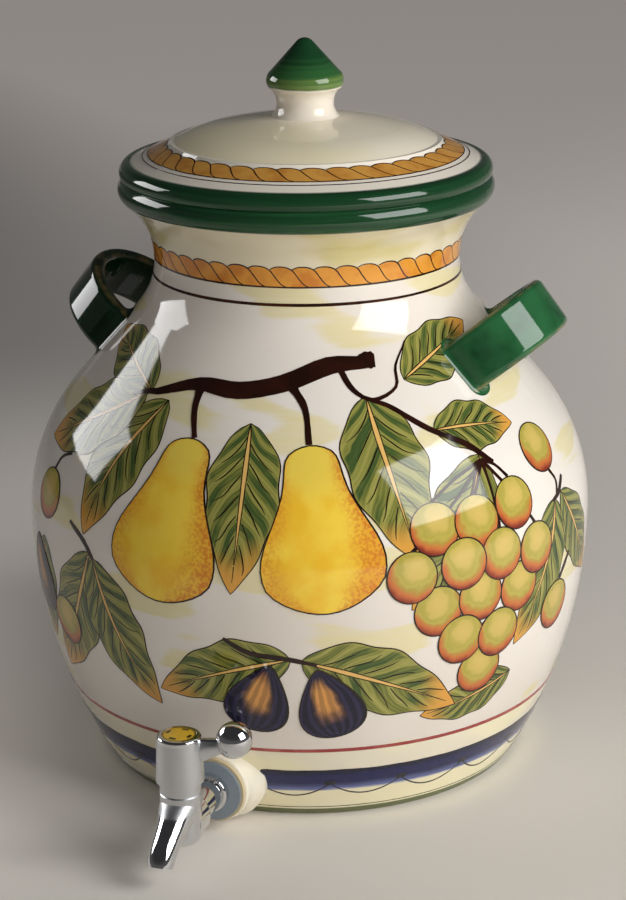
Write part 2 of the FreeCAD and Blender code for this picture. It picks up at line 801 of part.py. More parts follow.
plug_radius = "(chamber_radius - plug_play)"
groove_depth = "(2 * seal_wire)"
shoulder_level = "(tap_level + plug_shoulder)"
thrust_top = f"({shoulder_level} + thrust_gap + thrust_thickness)"
square_start = f"({bonnet_top} - cap_gap)"
stem_top = f"({square_start} + square_length)"


def plug_groove(number):
    """Corners of one seal groove, from its lower to its upper edge."""
    middle = f"(tap_level + seal_first + {number} * seal_pitch)"
    half = "(seal_wire + groove_play)"
    floor = f"({plug_radius} - {groove_depth})"
    return [
        to(plug_radius, f"{middle} - {half}"),
        to(floor, f"{middle} - {half}"),
        to(floor, f"{middle} + {half}"),
        to(plug_radius, f"{middle} + {half}"),
    ]


def valve_plug():
    """Plug with a cross port and two seal grooves, a round stem and a square on top."""
    plug_floor = f"{chamber_floor} + plug_gap"
    turned_plug = upright("plug_turned", [
        to("0", plug_floor),
        to(f"{plug_radius} - plug_chamfer", plug_floor),
        to(plug_radius, f"{plug_floor} + plug_chamfer"),
        *plug_groove(0),
        *plug_groove(1),
        to(plug_radius, shoulder_level),
        to("stem_radius", shoulder_level),
        to("stem_radius", square_start),
        to("0", square_start),
    ])
    place(turned_plug, y=f"-{barrel_place}")
    square = block("plug_square", "square_side", "square_side",
                   f"square_length + {bonnet_top} - {thrust_top}",
                   "-square_side / 2", f"-{barrel_place} - square_side / 2",
                   f"{square_start} - {bonnet_top} + {thrust_top}")
    port = rod("plug_port", "port_radius", "3 * chamber_radius", x="-1.5 * chamber_radius",
               y=f"-{barrel_place}", z="tap_level", axis=(0, 1, 0))
    screw_hole = rod("plug_screw_hole", "screw_radius", "screw_grip + screw_play",
                     y=f"-{barrel_place}", z=f"{stem_top} - screw_grip - screw_play")
    return cut("plug_cut", fuse("plug_form", turned_plug, square), port, screw_hole)


keep(valve_plug(), "valve_plug")


def stem_seal(number):
    """One rubber ring in its groove on the plug."""
    wire = doc.addObject("Part::Torus", f"stem_seal_{number}")
    bind(wire, Radius1=f"{plug_radius} - seal_wire", Radius2="seal_wire")
    return place(wire, y=f"-{barrel_place}", z=f"tap_level + seal_first + {number} * seal_pitch")


stem_seals = doc.addObject("Part::Compound", "seal_pair")
stem_seals.Links = [stem_seal(number) for number in range(2)]
keep(stem_seals, "stem_seals")

thrust_washer = upright("thrust_ring", [
    to("stem_radius + thrust_bore_play", "-thrust_thickness"),
    to("chamber_radius - thrust_rim_play", "-thrust_thickness"),
    to("chamber_radius - thrust_rim_play", "0"),
    to("stem_radius + thrust_bore_play", "0"),
])
keep(place(thrust_washer, y=f"-{barrel_place}", z=thrust_top), "thrust_washer")


def bonnet_ring():
    """Ring on the barrel's top, with a spigot that reaches down to the thrust washer."""
    spigot = f"({thrust_top} - {barrel_top})"
    body = upright("bonnet_form", [
        to("stem_radius + stem_play", spigot),
        to("chamber_radius", spigot),
        to("chamber_radius", "0"),
        to("barrel_radius - barrel_chamfer", "0"),
        to("barrel_radius", "barrel_chamfer"),
        to("barrel_radius", "bonnet_height"),
        to("stem_radius + stem_play", "bonnet_height"),
    ])
    round_off(body, "bonnet_round", at_level("bonnet_height", "barrel_radius"))
    return place(body, y=f"-{barrel_place}", z=barrel_top)


keep(bonnet_ring(), "bonnet_ring")


# ---------------------------------------------------------------- cap, lever and disc

head_floor = "(cap_height - disc_recess - screw_head_height - screw_head_play)"
disc_floor = "(cap_height - disc_recess)"
lever_turn = "lever_azimuth - 90"


def cap_body(name, inner_top):
    """Tapered cap in place, closed over its top by the given corners."""
    body = upright(name, [
        to("0", "0"),
        to("cap_base_radius", "0"),
        to("cap_top_radius", "cap_height"),
        *inner_top,
    ])
    round_off(body, "min(cap_round; 0.8 * (cap_top_radius - disc_radius))",
              at_level("cap_height", "cap_top_radius"))
    return place(body, y=f"-{barrel_place}", z=cap_level)


def on_lever(body, level):
    """Turn a body that lies along its own X to the lever's direction, at a height on the cap."""
    return place(body, y=f"-{barrel_place}", z=f"{cap_level} + {level}", axis=(0, 0, 1), angle=lever_turn)


def handle_cap():
    """Cap with a recess for disc and screw head, a square hole below and the arm's socket."""
    seat = "disc_radius + disc_play"
    head = "screw_head_radius + screw_head_play"
    form = cap_body("cap_form", [
        to(seat, "cap_height"),
        to(seat, disc_floor),
        to(head, disc_floor),
        to(head, head_floor),
        to("0", head_floor),
    ])
    side = "(square_side + 2 * square_play)"
    square = block("cap_square", side, side, f"2 * ({stem_top} + screw_play - {cap_level})",
                   f"-{side} / 2", f"-{barrel_place} - {side} / 2",
                   f"2 * {cap_level} - {stem_top} - screw_play")
    screw_way = rod("cap_screw_way", "screw_radius + screw_play", head_floor,
                    y=f"-{barrel_place}", z=f"{cap_level} + screw_play")
    socket = turned("arm_socket", "XY_Plane", [
        to("cap_top_radius - arm_stub_length", "0"),
        to("2 * cap_top_radius", "0"),
        to("2 * cap_top_radius", "arm_stub_radius"),
        to("cap_top_radius - arm_stub_length", "arm_stub_radius"),
    ], axis="H_Axis")
    return cut("cap_cut", form, square, screw_way, on_lever(socket, "arm_root_rise"))


keep(handle_cap(), "handle_cap")


def ball():
    """Full ball of the lever, in place."""
    sphere = doc.addObject("Part::Sphere", "ball")
    bind(sphere, Radius="ball_radius")
    return place(sphere, x="lever_reach * cos(lever_azimuth - 90)",
                 y=f"lever_reach * sin(lever_azimuth - 90) - {barrel_place}", z=f"{cap_level} + ball_rise")


def arm_section(name, distance, level, height, width):
    """Upright oval section of the arm, in the arm's own frame."""
    section = doc.addObject("Part::Ellipse", name)
    bind(section, MajorRadius=height, MinorRadius=width)
    return place(section, x=distance, z=level, axis=(0, -1, 0), angle="90")


def lever_arm():
    """Oval arm from the cap to the ball, fitted to both, with a stub that enters each."""
    web = doc.addObject("Part::Loft", "arm_web")
    web.Sections = [
        arm_section("arm_root", "cap_top_radius - arm_stub_length / 2", "arm_root_rise",
                    "arm_root_height", "arm_root_width"),
        arm_section("arm_tip", "lever_reach - ball_radius + arm_tip_sink", "arm_tip_rise",
                    "arm_tip_height", "arm_tip_width"),
    ]
    web.Solid = True
    place(web, y=f"-{barrel_place}", z=cap_level, axis=(0, 0, 1), angle=lever_turn)
    fitted = cut("arm_fitted", web, cap_body("cap_solid", [to("0", "cap_height")]), ball())
    root = turned("arm_root_stub", "XY_Plane", [
        to("cap_top_radius - arm_stub_length", "0"),
        to("cap_base_radius + stub_overlap", "0"),
        to("cap_base_radius + stub_overlap", "arm_stub_radius"),
        to("cap_top_radius - arm_stub_length", "arm_stub_radius"),
    ], axis="H_Axis")
    return fuse("arm_form", fitted, on_lever(root, "arm_root_rise"),
                on_lever(ball_stub("arm"), "arm_tip_rise"))


def ball_stub(name):
    """Stub from inside the arm into the ball, and the same room as a tool for the ball."""
    return turned(f"{name}_ball_stub", "XY_Plane", [
        to("lever_reach - ball_radius - stub_overlap", "0"),
        to("lever_reach - ball_radius + ball_stub_length", "0"),
        to("lever_reach - ball_radius + ball_stub_length", "ball_stub_radius"),
        to("lever_reach - ball_radius - stub_overlap", "ball_stub_radius"),
    ], axis="H_Axis")


keep(lever_arm(), "lever_arm")
keep(cut("ball_cut", ball(), on_lever(ball_stub("ball"), "arm_tip_rise")), "lever_ball")


def cap_screw():
    """Cheese-head screw that holds the cap on the stem."""
    turned_screw = upright("screw_turned", [
        to("0", f"{stem_top} - {cap_level} - screw_grip"),
        to("screw_radius", f"{stem_top} - {cap_level} - screw_grip"),
        to("screw_radius", head_floor),
        to("screw_head_radius", head_floor),
        to("screw_head_radius", f"{head_floor} + screw_head_height"),
        to("0", f"{head_floor} + screw_head_height"),
    ])
    place(turned_screw, y=f"-{barrel_place}", z=cap_level)
    slot = block("screw_slot", "3 * screw_head_radius", "slot_width", "slot_depth",
                 "-1.5 * screw_head_radius", f"-{barrel_place} - slot_width / 2",
                 f"{cap_level} + {head_floor} + screw_head_height - slot_depth")
    return cut("screw_cut", turned_screw, slot)


keep(cap_screw(), "cap_screw")

index_disc = upright("disc_form", [
    to("0", disc_floor),
    to("disc_radius", disc_floor),
    to("disc_radius", f"{disc_floor} + disc_thickness"),
    arc_to("0", f"{disc_floor} + disc_thickness + disc_crown",
           "(disc_radius^2 + disc_crown^2) / (2 * disc_crown)"),
])
keep(place(index_disc, y=f"-{barrel_place}", z=cap_level), "index_disc")


# ---------------------------------------------------------------- checks and files

doc.recompute()
for item in doc.Objects:
    state = set(item.State) & {"Invalid", "Error"}
    if state:
        raise RuntimeError(f"{item.Label} failed: {state}")
    if item.TypeId == "Sketcher::SketchObject" and not item.FullyConstrained:
        raise RuntimeError(f"{item.Label} is not fully constrained")

os.makedirs("parts", exist_ok=True)
for part in parts:
    shape = part.Shape
    if shape.isNull() or not shape.isValid():
        raise RuntimeError(f"{part.Label} has no sound shape")
    shape.exportStep(f"parts/{part.Label}.step")
    box = shape.BoundBox
    print(f"{part.Label}: {len(shape.Solids)} solid(s), {shape.Volume / 1000:.2f} cm3,"
          f" x {box.XMin:.1f} {box.XMax:.1f} y {box.YMin:.1f} {box.YMax:.1f} z {box.ZMin:.1f} {box.ZMax:.1f}")
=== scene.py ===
import bmesh
import bpy
import random
from math import cos, hypot, pi, radians, sin, sqrt
from mathutils import Euler, Matrix, Vector, noise


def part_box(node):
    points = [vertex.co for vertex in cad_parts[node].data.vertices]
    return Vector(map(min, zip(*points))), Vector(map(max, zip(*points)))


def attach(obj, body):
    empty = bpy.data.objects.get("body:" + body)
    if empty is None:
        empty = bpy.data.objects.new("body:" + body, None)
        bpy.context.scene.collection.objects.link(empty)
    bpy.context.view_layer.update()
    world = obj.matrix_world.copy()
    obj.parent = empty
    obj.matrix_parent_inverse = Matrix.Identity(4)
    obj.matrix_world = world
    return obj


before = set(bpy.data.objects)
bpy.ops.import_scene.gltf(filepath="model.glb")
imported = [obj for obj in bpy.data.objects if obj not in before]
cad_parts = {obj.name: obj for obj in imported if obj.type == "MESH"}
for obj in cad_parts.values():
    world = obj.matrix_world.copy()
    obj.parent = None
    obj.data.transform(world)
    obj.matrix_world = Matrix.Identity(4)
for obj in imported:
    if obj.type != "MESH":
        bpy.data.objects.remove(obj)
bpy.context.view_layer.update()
scene = bpy.context.scene
random.seed(7)
print("frame loaded with", len(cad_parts), "CAD nodes")


# Camera, lamps and room

view = {"lens": 100, "sensorHeight": 36, "distance": 1.52, "height": 0.6758,
        "azimuth": 21, "pitch": 17.704, "yaw": 0.09, "roll": -0.639}

lamps = {
    "windowRight": {"azimuth": 78, "rise": 28, "size": (1.05, 1.0), "radiance": 6.5},
    "windowLeft": {"azimuth": -90, "rise": 21.5, "size": (0.82, 0.66), "radiance": 6.0, "lights": False},
    "fillLeft": {"azimuth": -92, "rise": 19, "size": (0.95, 0.85), "radiance": 1.5, "mirrored": False},
    "fillFront": {"azimuth": 45, "rise": 8, "size": (1.2, 0.8), "radiance": 2.2, "mirrored": False},
}


room = {
    "target": (0, 0, 0.2), "lampDistance": 1.65,
    "horizon": (0.11, 0.108, 0.105), "zenith": (0.035, 0.035, 0.036), "skyTo": 0.55,
    "floorRadius": 40, "nearFloor": (232, 226, 217), "shadedFloor": (186, 181, 177), "floorShadeRange": (0.5, 1.6),
    "farGlow": (0.232, 0.212, 0.198), "glowRange": (0.2, 2.2), "slant": 2, "leftGlow": 0.6,
    "leftSide": (-0.26, -0.1), "leftStart": (-0.4, -0.05), "leftEnd": (0.3, 1.0), "leftFade": 0.8,
}


def outward(azimuth, rise):
    # Direction away from the pot: azimuth runs from the tap towards the right handle
    turn, lift = radians(azimuth), radians(rise)
    return Vector((sin(turn) * cos(lift), -cos(turn) * cos(lift), sin(lift)))


def link(name, data):
    thing = bpy.data.objects.new(name, data)
    scene.collection.objects.link(thing)
    return thing


def addCamera():
    data = bpy.data.cameras.new("camera")
    data.lens = view["lens"]
    data.sensor_fit = "VERTICAL"
    data.sensor_height = view["sensorHeight"]
    data.clip_end = 200
    camera = link("camera", data)
    facing = Euler((radians(90 - view["pitch"]), 0, radians(view["azimuth"] - view["yaw"])))
    turned = facing.to_matrix() @ Matrix.Rotation(radians(view["roll"]), 3, "Z")
    place = outward(view["azimuth"], 0) * view["distance"]
    place.z = view["height"]
    camera.matrix_world = Matrix.Translation(place) @ turned.to_4x4()
    scene.camera = camera


def addLamp(name, lamp):
    data = bpy.data.lights.new(name, "AREA")
    data.shape = "RECTANGLE"
    data.size, data.size_y = lamp["size"]
    data.energy = lamp["radiance"] * pi * data.size * data.size_y
    light = link(name, data)
    direction = outward(lamp["azimuth"], lamp["rise"])
    light.location = Vector(room["target"]) + direction * room["lampDistance"]
    light.rotation_euler = direction.to_track_quat("Z", "Y").to_euler()
    light.visible_diffuse = lamp.get("lights", True)     # some only show in the glaze and chrome
    light.visible_glossy = lamp.get("mirrored", True)    # and some only lift the shaded side


# Materials: arithmetic on sockets, and one method that adds any node

class Wire:
    # The output of a node, which takes part in plain arithmetic
    def __init__(self, owner, socket):
        self.owner = owner
        self.socket = socket

    def maths(self, operation, *others):
        return self.owner.add("ShaderNodeMath", {"operation": operation}, dict(enumerate((self, *others))))

    def __add__(self, other):
        return self.maths("ADD", other)

    def __sub__(self, other):
        return self.maths("SUBTRACT", other)

    def __mul__(self, other):
        return self.maths("MULTIPLY", other)

    def __rsub__(self, other):
        return self.owner.add("ShaderNodeMath", {"operation": "SUBTRACT"}, {0: other, 1: self})

    def __pow__(self, other):
        return self.maths("POWER", other)


class Nodes:
    # The node tree of a material or of the world
    def __init__(self, tree):
        self.tree = tree

    def add(self, kind, settings=None, sockets=None, output=0):
        node = self.tree.nodes.new(kind)
        for name, setting in (settings or {}).items():
            setattr(node, name, setting)
        for name, value in (sockets or {}).items():
            self.plug(node.inputs[name], value)
        return Wire(self, node.outputs[output])

    def plug(self, socket, value):
        if isinstance(value, Wire):
            self.tree.links.new(value.socket, socket)
        else:
            socket.default_value = value

    def split(self, vector):
        node = self.tree.nodes.new("ShaderNodeSeparateXYZ")
        self.plug(node.inputs[0], vector)
        return [Wire(self, output) for output in node.outputs]

    def ease(self, value, low, high):
        # Smooth step from 0 at low to 1 at high
        return self.add("ShaderNodeMapRange", {"interpolation_type": "SMOOTHSTEP"},
                        {0: value, 1: low, 2: high, 3: 0.0, 4: 1.0})

    def blend(self, first, second, mask):
        # The Mix node's colours are its sockets 6 and 7 and its output 2
        return self.add("ShaderNodeMix", {"data_type": "RGBA"}, {0: mask, 6: first, 7: second}, 2)


class Finish(Nodes):
    # One material around its Principled shader
    def __init__(self, name, constants):
        self.material = bpy.data.materials.new(name)
        self.material.use_nodes = True
        super().__init__(self.material.node_tree)
        self.shader = self.tree.nodes["Principled BSDF"]
        for socket, value in constants.items():
            self.shader.inputs[socket].default_value = value

    def feed(self, **sockets):
        # Base_Color=... feeds the shader's Base Color
        for name, value in sockets.items():
            self.plug(self.shader.inputs[name.replace("_", " ")], value)

    def place(self):
        return self.add("ShaderNodeTexCoord", output="Object")

    def paintCoordinates(self):
        # The way along a painted shape, and across it from -1 to 1
        along, across, _ = self.split(self.add("ShaderNodeUVMap", {"uv_map": "paint"}))
        return along, across * 2 - 1

    def stretch(self, vector, scales):
        return self.add("ShaderNodeVectorMath", {"operation": "MULTIPLY"}, {0: vector, 1: scales})

    def speckle(self, vector, scale, detail=2.0, roughness=0.5):
        return self.add("ShaderNodeTexNoise", None,
                        {"Vector": vector, "Scale": scale, "Detail": detail, "Roughness": roughness})

    def past(self, value, edge, soft):
        # Smooth step over an edge that is this soft on either side
        return self.ease(value, edge - soft, edge + soft)

    def clouds(self, where, spec):
        # Patches of noise from 0 to 1, as large and as sharp as a piece's dictionary says
        where = self.stretch(where, spec["stretch"]) if "stretch" in spec else where
        return self.ease(self.speckle(where, spec.get("scale", 1.0), spec.get("detail", 2.0)), *spec["range"])

    def bump(self, height, strength, distance):
        self.feed(Normal=self.add("ShaderNodeBump", None,
                                  {"Height": height, "Strength": strength, "Distance": distance}))

    def glazed(self, where, colour, **sockets):
        # Colour under a thrown and dipped surface, whose slow unevenness bends its reflections
        self.feed(Base_Color=colour, **sockets)
        height = self.speckle(where, glazeWaves["scale"], 1.0, 0.4)
        self.bump(height, glazeWaves["strength"], glazeWaves["distance"])
        return self.material


def tone(red, green, blue):
    # A colour as a screen shows it, from 0 to 255, in the linear numbers of a shader
    shares = (red / 255, green / 255, blue / 255)
    return (*(s / 12.92 if s <= 0.04045 else ((s + 0.055) / 1.055) ** 2.4 for s in shares), 1.0)


glaze = {"Roughness": 0.07, "IOR": 1.52}
glazeWaves = {"scale": 9, "strength": 0.1, "distance": 0.004}


def glazing(name):
    finish = Finish(name, glaze)
    return finish, finish.place()


rollGreens = {
    "dark": tone(22, 60, 34), "light": tone(38, 86, 50),
    "streaks": {"stretch": (6, 6, 210), "detail": 3.0, "range": (0.4, 0.72)},
}


def rollGreen(finish, where):
    # Green laid on while the wheel turns, so its streaks run round the roll
    return finish.blend(rollGreens["dark"], rollGreens["light"], finish.clouds(where, rollGreens["streaks"]))


potColours = {
    "white": tone(240, 232, 222), "shade": tone(231, 221, 209),
    "shading": {"scale": 7.0, "range": (0.42, 0.68)}, "smudges": {"stretch": (14, 14, 34), "range": (0.46, 0.66)},
    "wash": tone(230, 216, 150), "hairs": (22, 22, 340), "patches": (11, 11, 40), "washRange": (0.585, 0.64),
    "base": tone(246, 237, 200), "baseEdge": (0.0515, 0.053), "baseRange": (0.4, 0.62),
    "neck": tone(233, 221, 188), "neckWash": tone(216, 200, 128), "neckEdge": (0.319, 0.3215),
    "greenEdge": (0.3562, 0.357), "mouthRadius": 0.1045, "mouthSoft": 0.0006,
    "foot": tone(104, 110, 72), "footEdge": (0.0047, 0.0054), "footRagged": 0.0006,
    "clay": tone(190, 168, 140), "bareEdge": (0.0001, 0.0007), "bareRoughness": 0.7,
}


def potGlaze():
    c = potColours
    finish, where = glazing("paintedGlaze")
    x, y, z = finish.split(where)
    radius = (x * x + y * y) ** 0.5
    body = finish.blend(c["white"], c["shade"], finish.clouds(where, c["shading"]))
    hairs = finish.speckle(finish.stretch(where, c["hairs"]), 1.0)
    patches = finish.speckle(finish.stretch(where, c["patches"]), 1.0, 1.0)
    washed = finish.ease(patches + hairs * 0.06, *c["washRange"])
    body = finish.blend(body, c["wash"], washed * (hairs * 0.5 + 0.4))
    low = 1 - finish.ease(z, *c["baseEdge"])
    body = finish.blend(body, c["base"], low * (finish.ease(patches, *c["baseRange"]) * 0.5 + 0.45))
    neck = finish.blend(c["neck"], c["neckWash"], finish.clouds(where, c["smudges"]) * 0.85)
    body = finish.blend(body, neck, finish.ease(z, *c["neckEdge"]) * 0.9)
    outside = finish.past(radius, c["mouthRadius"], c["mouthSoft"])
    body = finish.blend(body, rollGreen(finish, where), finish.ease(z, *c["greenEdge"]) * outside)
    body = finish.blend(body, c["foot"], 1 - finish.ease(z + hairs * c["footRagged"], *c["footEdge"]))
    bare = 1 - finish.ease(z, *c["bareEdge"])
    return finish.glazed(where, finish.blend(body, c["clay"], bare),
                         Roughness=bare * c["bareRoughness"] + glaze["Roughness"])


lidColours = {
    "ivory": tone(253, 242, 219), "wash": tone(245, 232, 194), "white": tone(246, 237, 221),
    "washes": {"stretch": (9, 9, 40), "range": (0.45, 0.66)}, "domeRadius": 0.0812, "flangeRadius": 0.1,
    "soft": 0.0004, "greenRadius": 0.108, "greenLevel": 0.3798, "greenSoft": 0.0003,
}


def lidGlaze():
    c = lidColours
    finish, where = glazing("lidGlaze")
    x, y, z = finish.split(where)
    radius = (x * x + y * y) ** 0.5
    top = finish.blend(c["ivory"], c["wash"], finish.clouds(where, c["washes"]) * 0.8)
    body = finish.blend(top, c["white"], finish.past(radius, c["domeRadius"], c["soft"]))
    edge = finish.past(radius, c["greenRadius"], c["greenSoft"])
    below = 1 - finish.past(z, c["greenLevel"], c["greenSoft"])
    outside = finish.past(radius, c["flangeRadius"], c["soft"])
    green = (edge + below * outside).maths("MINIMUM", 1.0)
    return finish.glazed(where, finish.blend(body, rollGreen(finish, where), green))


knobColours = {
    "dark": tone(24, 64, 36), "mid": tone(50, 98, 52), "light": tone(104, 130, 66),
    "white": tone(240, 230, 214), "streaks": (14, 14, 520), "midRange": (0.16, 0.34), "darkRange": (0.55, 1.2),
    "paintedHeight": (0.4265, 0.453), "greenEdge": (0.4243, 0.4255), "ragged": 0.001, "raggedScale": 60.0,
}


def knobGlaze():
    c = knobColours
    finish, where = glazing("knobGlaze")
    _, _, z = finish.split(where)
    streaks = finish.speckle(finish.stretch(where, c["streaks"]), 1.0, 3.0)
    height = finish.ease(z, *c["paintedHeight"])
    green = finish.blend(c["light"], c["mid"], finish.ease(height + streaks * 0.4, *c["midRange"]))
    green = finish.blend(green, c["dark"], finish.ease(height + streaks * 0.9, *c["darkRange"]))
    start = finish.ease(z + finish.speckle(where, c["raggedScale"]) * c["ragged"], *c["greenEdge"])
    return finish.glazed(where, finish.blend(c["white"], green, start))


handleColours = {
    "thin": tone(150, 132, 84), "elevation": 38.08, "halfWidth": 0.01675,
    "thinEdge": (-0.0026, -0.0008), "cornerEdge": (-0.0006, 0.0004),
    "worn": {"scale": 90.0, "range": (0.38, 0.66)}, "mottle": {"scale": 30.0, "detail": 3.0, "range": (0.42, 0.75)},
    "right": {"side": 1, "stand": (0.11933, 0.2704), "dark": tone(20, 60, 35), "green": tone(42, 98, 58)},
    # The left handle has the same glaze as the right; its darker greens are painted shade, as it stands on the
    # pot's unlit side
    "left": {"side": -1, "stand": (0.11279, 0.26947), "dark": tone(12, 32, 18), "green": tone(20, 52, 31)},
}


def handleGlaze(name, own):
    # The glaze runs thin and pale along the strap's long edges
    c = handleColours
    side, (across, level) = own["side"], own["stand"]
    finish, where = glazing(name)
    x, _, z = finish.split(where)
    lean = radians(c["elevation"])
    offset = ((z - level) * cos(lean) - (x * side - across) * sin(lean)).maths("ABSOLUTE")
    beyond = offset - c["halfWidth"]
    green = finish.blend(own["green"], own["dark"], finish.clouds(where, c["mottle"]))
    thin = finish.ease(beyond, *c["thinEdge"]) * (1 - finish.ease(beyond, *c["cornerEdge"]))
    return finish.glazed(where, finish.blend(green, c["thin"], thin * finish.clouds(where, c["worn"]) * 0.5))


chrome = {
    "tint": tone(218, 219, 221), "rubbed": tone(206, 208, 211), "polished": 0.05, "satin": 0.36,
    "satinEdge": (0.0365, 0.0395), "rimEdge": (0.0806, 0.0816), "brush": (3, 3, 40), "brushScale": 60.0,
    "brushDepth": 0.08, "smearScale": 120.0, "smearDepth": 0.03,
}


def chromePlate(name, satin):
    # Polished plate; the upright barrel, ring and cap are finely brushed round their axis
    c = chrome
    finish = Finish(name, {"Metallic": 1.0})
    where = finish.place()
    _, _, z = finish.split(where)
    rub = finish.speckle(finish.stretch(where, c["brush"]), c["brushScale"], 4.0)
    brushed = finish.ease(z, *c["satinEdge"]) * (1 - finish.ease(z, *c["rimEdge"])) * satin
    smear = (finish.speckle(where, c["smearScale"], 3.0) - 0.5) * c["smearDepth"]
    matt = brushed * (rub * c["brushDepth"] + (c["satin"] - c["polished"]))
    finish.feed(Base_Color=finish.blend(c["tint"], c["rubbed"], brushed * rub),
                Roughness=matt + smear + c["polished"])
    return finish.material


turning = {"scale": 300.0, "range": (0.35, 0.7), "depth": 0.15}
moulding = {"circles": 5200, "range": (0.2, 0.9), "grain": 400.0, "depth": 0.2,
            "strength": 0.15, "distance": 0.0003}


def turnedMetal(name, light, dark, rough):
    finish = Finish(name, {"Metallic": 1.0})
    lines = finish.speckle(finish.place(), turning["scale"])
    finish.feed(Base_Color=finish.blend(light, dark, finish.ease(lines, *turning["range"])),
                Roughness=lines * turning["depth"] + rough)
    return finish.material


def softRing(name, light, dark, rough, axisLevel):
    # Rubber or nylon rings round the shank or stem, with faint moulding circles
    finish = Finish(name, {})
    where = finish.place()
    x, _, z = finish.split(where)
    rise = z - axisLevel
    radius = (x * x + rise * rise) ** 0.5
    circles = finish.ease((radius * moulding["circles"]).maths("SINE"), *moulding["range"])
    grain = finish.speckle(where, moulding["grain"], 3.0)
    finish.feed(Base_Color=finish.blend(light, dark, circles * 0.45 + grain * 0.3),
                Roughness=grain * moulding["depth"] + rough)
    finish.bump(grain, moulding["strength"], moulding["distance"])
    return finish.material


disc = {
    "centreY": -0.214504, "markRadius": 0.0071, "markEdge": (0.0008, 0.0012), "marks": 4, "markTurn": 0.6,
    "markRange": (0.3, 0.42), "goldFrom": 0.009, "goldSoft": 0.0001, "wearScale": 250.0,
    "yellow": tone(226, 184, 52), "worn": tone(208, 164, 44), "mark": tone(28, 24, 20),
    "gold": tone(196, 160, 84),
}


def indexYellow():
    # Yellow cap disc with four plain index marks and a gold rim
    finish = Finish("indexYellow", {"Roughness": 0.28})
    where = finish.place()
    x, y, _ = finish.split(where)
    y = y - disc["centreY"]
    radius = (x * x + y * y) ** 0.5
    around = (x.maths("ARCTAN2", y) * disc["marks"] - disc["markTurn"]).maths("COSINE")
    track = 1 - finish.ease((radius - disc["markRadius"]).maths("ABSOLUTE"), *disc["markEdge"])
    mark = track * finish.ease(around, *disc["markRange"])
    gold = finish.past(radius, disc["goldFrom"], disc["goldSoft"])
    yellow = finish.blend(disc["yellow"], disc["worn"], finish.speckle(where, disc["wearScale"]))
    colour = finish.blend(yellow, disc["mark"], mark)
    finish.feed(Base_Color=finish.blend(colour, disc["gold"], gold), Metallic=gold)
    return finish.material


bossGlaze = ("creamGlaze", tone(240, 233, 215), tone(230, 220, 194), {"scale": 40.0, "range": (0.4, 0.7)})

# Light and dark tone and roughness of each ring or turned piece, and the nodes that have it
rings = {
    "tanRubber": (tone(206, 188, 152), tone(184, 164, 126), 0.5, ["outer_gasket"]),
    "greyNylon": (tone(142, 152, 160), tone(112, 122, 132), 0.3, ["outer_washer"]),
    "greySlip": (tone(168, 172, 176), tone(140, 146, 150), 0.4, ["thrust_washer"]),
    "blackRubber": (tone(34, 34, 35), tone(24, 24, 25), 0.55, ["inner_gasket", "inlet_seal", "stem_seals"]),
}
turned = {
    "brass": (tone(206, 176, 110), tone(186, 152, 88), 0.22, ["back_nut", "valve_plug"]),
    "steel": (tone(186, 188, 190), tone(160, 163, 167), 0.28, ["inner_washer", "cap_screw"]),
}


def dress(material, *nodes):
    for node in nodes:
        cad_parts[node].data.materials.clear()
        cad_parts[node].data.materials.append(material)


def dressNodes():
    dress(potGlaze(), "pot_body")
    dress(lidGlaze(), "lid_shell")
    dress(knobGlaze(), "lid_knob")
    dress(handleGlaze("handleGlazeRight", handleColours["right"]), "handle_right")
    # The left handle's glaze is a copy of the right one's, darkened with painted shade
    dress(handleGlaze("handleGlazeLeftShaded", handleColours["left"]), "handle_left")
    dress(plainPaint(*bossGlaze), "tap_boss")
    tapLevel = sum(corner.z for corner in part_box("outer_washer")) / 2
    for name, (light, dark, rough, nodes) in rings.items():
        dress(softRing(name, light, dark, rough, tapLevel), *nodes)
    for name, (light, dark, rough, nodes) in turned.items():
        dress(turnedMetal(name, light, dark, rough), *nodes)
    dress(chromePlate("chromeSatin", 1.0), "tap_body", "bonnet_ring", "handle_cap", "lever_arm")
    dress(chromePlate("chromePolished", 0.0), "lever_ball")
    dress(indexYellow(), "index_disc")


# The pot's outside line, run along from the belly: down is negative, up is positive

wall = {"bellyRadius": 0.1776, "bellyLevel": 0.1596, "lowerArc": 0.3088, "shoulderArc": 0.1216,
        "shoulderSlope": radians(40.08), "neckRadius": 0.0949, "neckArc": 0.047, "runs": (-0.17, 0.3)}


def measureWall():
    # The stretch of straight shoulder, and where each stretch ends, from the driving sizes
    slope = wall["shoulderSlope"]
    arcs = wall["shoulderArc"] + wall["neckArc"]
    fall = wall["bellyRadius"] - wall["neckRadius"] - arcs * (1 - cos(slope))
    wall["straight"] = fall / sin(slope)
    wall["shoulderEnd"] = wall["shoulderArc"] * slope
    wall["straightEnd"] = wall["shoulderEnd"] + wall["straight"]
    wall["neckLevel"] = wall["bellyLevel"] + arcs * sin(slope) + wall["straight"] * cos(slope)


measureWall()


def wallSpot(run):
    # Radius, level and rise of the outward direction at a run along the pot's side
    slope = wall["shoulderSlope"]
    if run < wall["shoulderEnd"]:
        arc = wall["lowerArc"] if run < 0 else wall["shoulderArc"]
        rise = run / arc
        radius = wall["bellyRadius"] - arc * (1 - cos(rise))
        return radius, wall["bellyLevel"] + arc * sin(rise), rise
    if run < wall["straightEnd"]:
        radius, level, _ = wallSpot(wall["shoulderEnd"] - 1e-9)
        past = run - wall["shoulderEnd"]
        return radius - past * sin(slope), level + past * cos(slope), slope
    rise = slope - (run - wall["straightEnd"]) / wall["neckArc"]
    radius = wall["neckRadius"] + wall["neckArc"] * (1 - cos(rise))
    return radius, wall["neckLevel"] - wall["neckArc"] * sin(rise), rise


def runAt(level):
    # The run at which the side reaches a level, by halving
    low, high = wall["runs"]
    for _ in range(40):
        middle = (low + high) / 2
        low, high = (middle, high) if wallSpot(middle)[1] < level else (low, middle)
    return low


